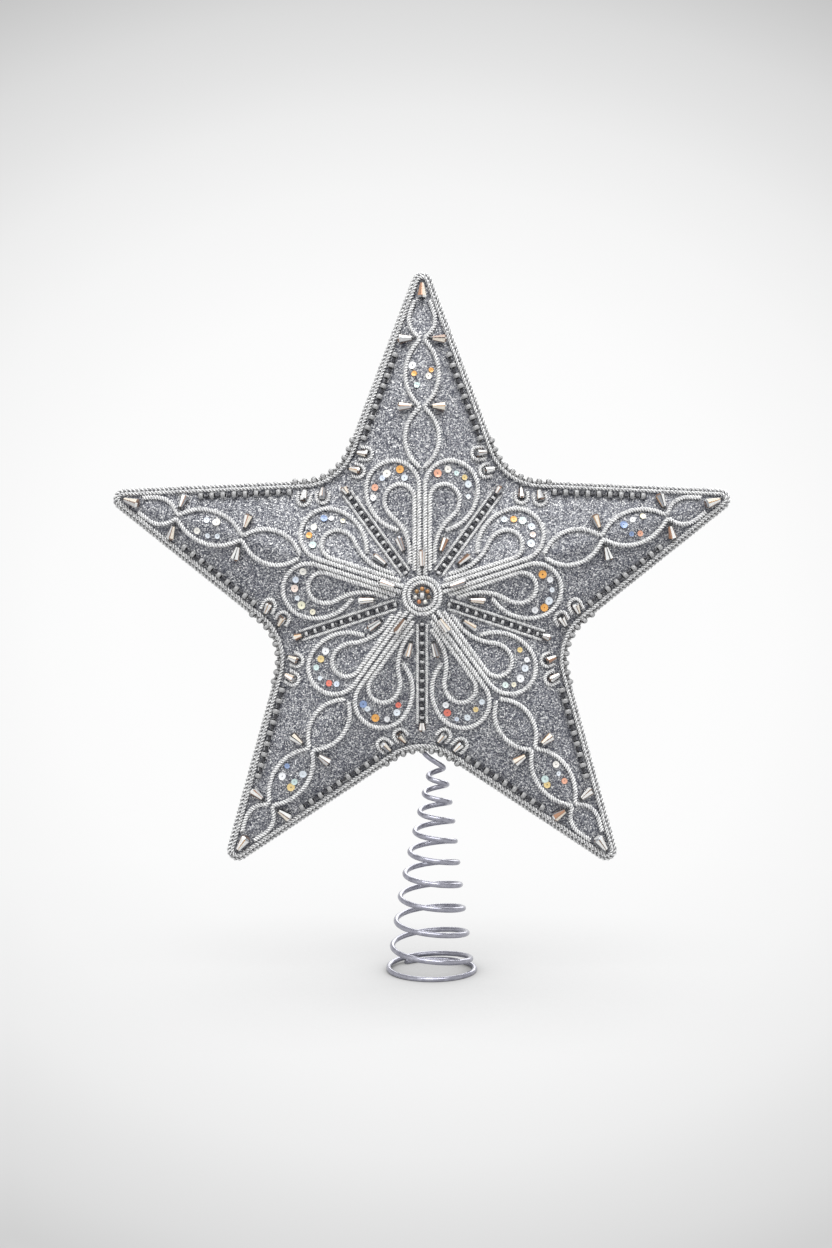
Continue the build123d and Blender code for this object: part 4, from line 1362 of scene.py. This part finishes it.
arms = range(ARMS)
tip_start = TIP_REACH - BORDER_CORD - TIP_DROP_CLEAR
tip_spots = [line_spot(tip_start, SEAT, ALONG, RIDGE_UP, arm, outward=-1) for arm in arms]
stem_lift = PATTERN_CORD + 2 * SEAT
stem_spots = [line_spot(STEM_DROP_START, stem_lift, ALONG, RIDGE_UP, arm) for arm in arms]
crossing_side = CHAIN_SIDE + CROSSING_BEND + CROSSING_DROP_CLEAR
crossing_spots = [facet_spot((s, crossing_side), (0, 1), facet) for facet in FACETS for s in CROSSINGS]
flank_start = (FLANK_DROP_START, FLANK_DROP_SIDE)
flank_way = unit_way(math.radians(FLANK_DROP_TURN))
flank_spots = [facet_spot(flank_start, flank_way, facet) for facet in FACETS]
notch_spots = []
for loop in NOTCH_LOOPS:
    middle, outward = loop_frame(*loop)
    start = middle + outward * (NOTCH_DROP[0] - LOOP_BEND + LOOP_CORD)
    notch_spots += [facet_spot(start, -outward, facet) for facet in FACETS]
rib_start = RIB_PLACES[-1] + RIB_CLEAR_BEAD / 2 + SEAT
rib_spots = [line_spot(rib_start, 3 * SEAT, VALLEY, VALLEY_UP, arm) for arm in arms]
faces = lay_drops("tip_glass", "tip_drops", TIP_DROP, tip_spots)
faces += lay_drops("stem_glass", "stem_drops", STEM_DROP, stem_spots)
faces += lay_drops("crossing_glass", "crossing_drops", CROSSING_DROP, crossing_spots)
faces += lay_drops("flank_glass", "flank_drops", FLANK_DROP, flank_spots)
faces += lay_drops("notch_glass", "notch_drops", NOTCH_DROP, notch_spots)
faces += lay_drops("rib_glass", "rib_end_drops", RIB_DROP, rib_spots)
print("drops:", faces, "faces")

# %% [markdown]
# ## Sequins
# A sequin is a thin cupped disc with a hole. One is modelled from a filled circle: two insets make
# its cup and its hole, and Solidify gives it thickness. They lie along the crescent between petal
# and teardrop, a little askew, in several sizes.

# %% Sequin model and colours
SEQUIN = 4.0
SEQUIN_CENTRE = (48.0, 13.0)
SEQUIN_CIRCLE = 8.7
SEQUIN_FIRST, SEQUIN_STEP, SEQUINS_PER_PETAL = -45.0, 30.0, 6
LOOP_SEQUIN_SIDE = 3.2
LOOP_SEQUIN_PLACES = ((-4.6, 0.0, 4.6), (-2.3, 2.3))
SEQUIN_ORDER = (
    "pearl", "amber", "pearl", "blue", "coral",
    "pearl", "mint", "amber", "pearl", "blue",
)
SEQUIN_COLOURS = {
    "pearl": ((0.90, 0.91, 0.93), (0.80, 0.86, 0.92), (0.92, 0.90, 0.84)),
    "amber": ((0.86, 0.42, 0.10), (0.86, 0.66, 0.30), (0.92, 0.87, 0.70)),
    "blue": ((0.26, 0.36, 0.60), (0.72, 0.79, 0.90), (0.82, 0.87, 0.93)),
    "coral": ((0.82, 0.20, 0.14), (0.86, 0.44, 0.30), (0.92, 0.76, 0.68)),
    "mint": ((0.78, 0.89, 0.86), (0.68, 0.84, 0.82), (0.90, 0.88, 0.68)),
}
SMALLEST_SEQUIN, LARGEST_SEQUIN = 0.52, 0.92
SEQUIN_STRAY = 1.1
SEQUIN_INSET = 0.2
SEQUIN_DISH = 0.05
SEQUIN_THICK = 0.05


def model_sequin():
    """A cupped disc of diameter 1 with a hole, facing +Z."""
    bpy.ops.mesh.primitive_circle_add(vertices=12, radius=0.5, fill_type="NGON")
    disc = bpy.context.object
    disc.name = "sequin_model"
    start_edit(disc)
    bpy.ops.mesh.select_all(action="SELECT")
    bpy.ops.mesh.inset(thickness=SEQUIN_INSET)
    pick(disc, "FACE", lambda f: len(f.verts) > 4)
    bpy.ops.transform.translate(value=(0, 0, -SEQUIN_DISH))
    bpy.ops.mesh.inset(thickness=SEQUIN_INSET)
    pick(disc, "FACE", lambda f: len(f.verts) > 4)
    bpy.ops.mesh.delete(type="FACE")
    face_outward()
    end_edit()
    apply_modifier(disc, "SOLIDIFY", thickness=SEQUIN_THICK, offset=1.0)
    smooth(disc, 30)
    return disc


sequin_model = model_sequin()
sequin_faces = len(sequin_model.data.polygons)
print("sequin model:", sequin_faces, "faces")

# %% Sequins in their places
SEQUIN_LIFT = 0.9
SEQUIN_LEAN = 0.12
sequin_seats = {colour: [] for colour in SEQUIN_COLOURS}
sequin_tints = {colour: [] for colour in SEQUIN_COLOURS}
loop_middle = sum(CROSSINGS) / 2
for arm in range(ARMS):
    for index, side in enumerate(SIDES):
        spots = []
        for n in range(SEQUINS_PER_PETAL):
            way = unit_way(math.radians(SEQUIN_FIRST + n * SEQUIN_STEP))
            spots.append(Vector(SEQUIN_CENTRE) + way * SEQUIN_CIRCLE)
        spots += [Vector((loop_middle + along, LOOP_SEQUIN_SIDE)) for along in LOOP_SEQUIN_PLACES[index]]
        for n, spot in enumerate(spots):
            colour = SEQUIN_ORDER[(n + 3 * arm + 4 * index) % len(SEQUIN_ORDER)]
            askew = [draw.uniform(-SEQUIN_LEAN, SEQUIN_LEAN) for axis in range(2)]
            lean = facet_way(*askew, 1, arm, side)
            size = SEQUIN * draw.uniform(SMALLEST_SEQUIN, LARGEST_SEQUIN) * MM
            strewn = spot + Vector((draw.uniform(-1, 1), draw.uniform(-1, 1))) * SEQUIN_STRAY
            place = facet_place(strewn, SEQUIN_LIFT, arm, side)
            sequin_seats[colour].append(seat(place, lean, facet_way(1, 0, 0, arm, side), size))
            sequin_tints[colour].append([draw.choice(SEQUIN_COLOURS[colour])] * sequin_faces)
SEQUIN_FOIL = tinted("sequin_foil", 0.16, 0.1, 0.5)
for colour, seats in sequin_seats.items():
    node = f"sequins_{colour}"
    sew_on(f"foil_{colour}", node, sequin_model, seats, SEQUIN_FOIL, sequin_tints[colour])
for model in (sequin_model, bead_model, bugle_model):
    bpy.data.objects.remove(model)
print("sequins:", {colour: len(seats) for colour, seats in sequin_seats.items()})

# %% [markdown]
# ## Coil spring
# One wire makes the whole stand: a foot turn, a cone of turns that grow downwards, and a straight
# stem up into the star. The same formula as in the part gives its line.

# %% Spring
WIRE = 2.4
FOOT_FLAT = 0.5
COIL_OFFSET = 4.0
COIL_LEAN = 2.8
LEAN_TURNS = 7.5
COIL_TURNS = 9
TOP_COIL_RADIUS = 3.0
COIL_RADIUS_STEP = 1.7
TOP_COIL_HEIGHT = 92.0
TOP_PITCH = 7.3
PITCH_GROWTH = 0.52
TAIL_TURNS = 1.38
TAIL_TUCK = 4.4
TAIL_TUCK_TURNS = 0.3
STEM_LENGTH = 63.0
STEPS_PER_TURN = 40
NECK_STEPS = 14
NECK_LEAVE, NECK_ARRIVE = 1.3, 1.1
STEM_FOOT = STAR_HEIGHT - notch_corner(CLOTH_EDGE) - NOTCH_ROUND * (1 / math.sin(NOTCH_ANGLE) - 1)
FOOT_LEVEL = WIRE / 2 - FOOT_FLAT


def coil_height(turn):
    last = TOP_COIL_HEIGHT - TOP_PITCH * COIL_TURNS - PITCH_GROWTH / 2 * COIL_TURNS ** 2
    if turn <= COIL_TURNS:
        return TOP_COIL_HEIGHT - TOP_PITCH * turn - PITCH_GROWTH / 2 * turn ** 2
    fall = last - FOOT_LEVEL
    run = 2 * fall / (TOP_PITCH + PITCH_GROWTH * COIL_TURNS)
    return FOOT_LEVEL + fall * max(0.0, 1 - (turn - COIL_TURNS) / run) ** 2


def coil_point(turn):
    share = min(max((turn - COIL_TURNS - 1) / TAIL_TUCK_TURNS, 0), 1)
    radius = TOP_COIL_RADIUS + COIL_RADIUS_STEP * min(turn, COIL_TURNS + 1)
    radius -= TAIL_TUCK * share ** 2 * (3 - 2 * share)
    angle = 2 * math.pi * turn
    lean = COIL_LEAN * (1 - min(turn / LEAN_TURNS, 1) ** 2) ** 2
    x = COIL_OFFSET + lean + radius * math.cos(angle)
    return Vector((x, radius * math.sin(angle), coil_height(turn)))


last_turn = COIL_TURNS + TAIL_TURNS
coil_count = round(last_turn * STEPS_PER_TURN)
wire_line = [coil_point(last_turn * (1 - n / coil_count)) for n in range(coil_count + 1)]
top, stem_foot = wire_line[-1], Vector((0, 0, STEM_FOOT))
rise = (top - wire_line[-2]).normalized() * (stem_foot - top).length * NECK_LEAVE
straight = Vector((0, 0, 1)) * (stem_foot - top).length * NECK_ARRIVE
for n in range(1, NECK_STEPS + 1):
    t = n / NECK_STEPS
    here = top * (2 * t ** 3 - 3 * t ** 2 + 1) + rise * (t ** 3 - 2 * t ** 2 + t)
    here += stem_foot * (3 * t ** 2 - 2 * t ** 3) + straight * (t ** 3 - t ** 2)
    wire_line.append(here)
wire_line += [stem_foot + Vector((0, 0, STEM_LENGTH * share)) for share in (0.1, 0.5, 1.0)]

wire_curve = line_curve("spring_wire", [[place * MM for place in wire_line]])
wire_curve.bevel_depth = WIRE / 2 * MM
wire_curve.bevel_resolution = 4
spring = curve_mesh("wire_coil", wire_curve)
for vertex in spring.data.vertices:
    vertex.co.z = max(0.0, vertex.co.z)
smooth(spring, 45)
print("spring:", len(spring.data.polygons), "faces")

# %% [markdown]
# The wire is drawn steel under a thin grey lacquer: metal, fairly smooth, with a little unevenness in
# its colour and its gloss. Two noises on Object coordinates give that.

# %% Wire finish
LACQUER_SCALE = 350
LACQUER_DARK, LACQUER_LIGHT = (0.27, 0.27, 0.32), (0.38, 0.38, 0.43)
GLOSS_SCALE = 900
SMOOTHEST, ROUGHEST = 0.15, 0.30


def spring_wire():
    material, nodes, links, shader = new_finish("spring_wire", {"Metallic": 0.7})
    lacquer = mottle(nodes, links, LACQUER_SCALE, LACQUER_DARK, LACQUER_LIGHT)
    links.new(lacquer, shader.inputs["Base Color"])
    rough = nodes.new("ShaderNodeMapRange")
    rough.inputs["To Min"].default_value = SMOOTHEST
    rough.inputs["To Max"].default_value = ROUGHEST
    links.new(object_noise(nodes, links, GLOSS_SCALE), rough.inputs["Value"])
    links.new(rough.outputs[0], shader.inputs["Roughness"])
    return material


dress(spring, spring_wire(), body=None)
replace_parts(spring, "coil_spring")
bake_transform(spring)

# %% [markdown]
# ## Back
# A star of felt hides the board and the hem at the back. It is a flat sheet with a slightly wavy
# face, sewn on with slanted stitches over its edge.

# %% Felt back
BACK_INSET = 1.0
BACK_RINGS = 24
BACK_SPOKES = 64
BACK_WAVE = 0.25
BACK_WAVE_LENGTH = 12.0
FIBRE_SCALE, FIBRE_DETAIL = 1500, 6.0
NAP_SCALE, NAP_DETAIL = 2200, 4.0
NAP_HEIGHT = 0.4 * MM
back_low = -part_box("back_panel")[1].y / MM
back_high = -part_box("back_panel")[0].y / MM
back = star_grid("felt_back", CLOTH_EDGE - BACK_INSET, BACK_RINGS, BACK_SPOKES, lambda x, y: back_low)
if sum(f.normal.y for f in back.data.polygons) < 0:
    back.data.flip_normals()
apply_modifier(back, "SOLIDIFY", thickness=(back_high - back_low) * MM, offset=-1.0)
waves = bpy.data.textures.new("felt_waves", "CLOUDS")
waves.noise_scale = BACK_WAVE_LENGTH * MM
wave_settings = {"strength": BACK_WAVE * MM, "mid_level": 0.5, "texture_coords": "LOCAL"}
apply_modifier(back, "DISPLACE", texture=waves, **wave_settings)
smooth(back, 45)


def felt():
    material, nodes, links, shader = new_finish("felt", {"Roughness": 0.95, "Sheen Weight": 0.4})
    dark, light = (0.20, 0.20, 0.21), (0.33, 0.33, 0.35)
    fibres = mottle(nodes, links, FIBRE_SCALE, dark, light, FIBRE_DETAIL)
    links.new(fibres, shader.inputs["Base Color"])
    nap = nodes.new("ShaderNodeBump")
    nap.inputs["Strength"].default_value = 0.5
    nap.inputs["Distance"].default_value = NAP_HEIGHT
    links.new(object_noise(nodes, links, NAP_SCALE, NAP_DETAIL), nap.inputs["Height"])
    links.new(nap.outputs[0], shader.inputs["Normal"])
    return material


dress(back, felt())
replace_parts(back, "back_panel")

# %% [markdown]
# A stitch is a short thread that comes out beside the felt's edge, arches over it and goes in again.
# A thin tube is bent that way once and copied all round.

# %% Stitches round the back
STITCH_PITCH = 4.6
STITCH_THICK = 0.5
STITCH_DEPTH = 2.4
STITCH_SLANT = 1.4
STITCH_RISE = 0.5
STITCH_OUTSIDE = 0.15
STITCH_ENTRY = 1.1


def model_stitch():
    """A short thread along Z that arches towards +Y and slants along X, bent from a tube."""
    bpy.ops.mesh.primitive_cylinder_add(vertices=5, radius=STITCH_THICK / 2 * MM, depth=1)
    thread = bpy.context.object
    thread.name = "stitch_model"
    start_edit(thread)
    pick(thread, "EDGE", lambda e: abs(e.verts[0].co.z - e.verts[1].co.z) > 0.5)
    bpy.ops.mesh.subdivide(number_cuts=4)
    end_edit()
    for vertex in thread.data.vertices:
        share = vertex.co.z + 0.5
        aside, around = vertex.co.x, vertex.co.y
        run = (share - STITCH_OUTSIDE) * STITCH_DEPTH * MM
        arch = math.sin(math.pi * min(1, share * STITCH_ENTRY)) * STITCH_RISE * MM
        vertex.co = (aside + share * STITCH_SLANT * MM, around + arch, run)
    smooth(thread, 60)
    return thread


stitch_model = model_stitch()
stitch_line = star_line(CLOTH_EDGE - BACK_INSET)
spacing = round(STITCH_PITCH / CORD_STEP)
stitch_seats = []
for n in range(0, len(stitch_line), spacing):
    here, after = stitch_line[n], stitch_line[(n + 1) % len(stitch_line)]
    way = (after - here).normalized()
    inward = Vector((way.y, 0, -way.x))
    place = stand(Vector((here.x, here.y, back_low)))
    stitch_seats.append(seat(place, inward, Vector((0, 1, 0))))
stitches = copies("back_stitches", stitch_model, stitch_seats)
dress(stitches, SILVER)
bpy.data.objects.remove(stitch_model)
print("stitches:", len(stitch_seats))

# %% [markdown]
# ## Hidden pieces
# The card inside and the tape over the stem's slot are the frame's own nodes. They keep their
# shape and get a finish of their own, for anyone who takes the star apart.

# %% Card and tape
CARD_DETAIL = 5.0


def fibre_finish(name, dark, light, scale, roughness):
    material, nodes, links, shader = new_finish(name, {"Roughness": roughness})
    fibres = mottle(nodes, links, scale, dark, light, CARD_DETAIL)
    links.new(fibres, shader.inputs["Base Color"])
    return material


CARD = fibre_finish("core_card", (0.30, 0.24, 0.17), (0.42, 0.35, 0.27), 600, 0.9)
TAPE = fibre_finish("cloth_tape", (0.55, 0.54, 0.49), (0.70, 0.69, 0.64), 1400, 0.85)
for node, finish in (("core_board", CARD), ("stem_tape", TAPE)):
    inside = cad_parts[node]
    inside.data.materials.clear()
    inside.data.materials.append(finish)
print("finishes on core_board and stem_tape")
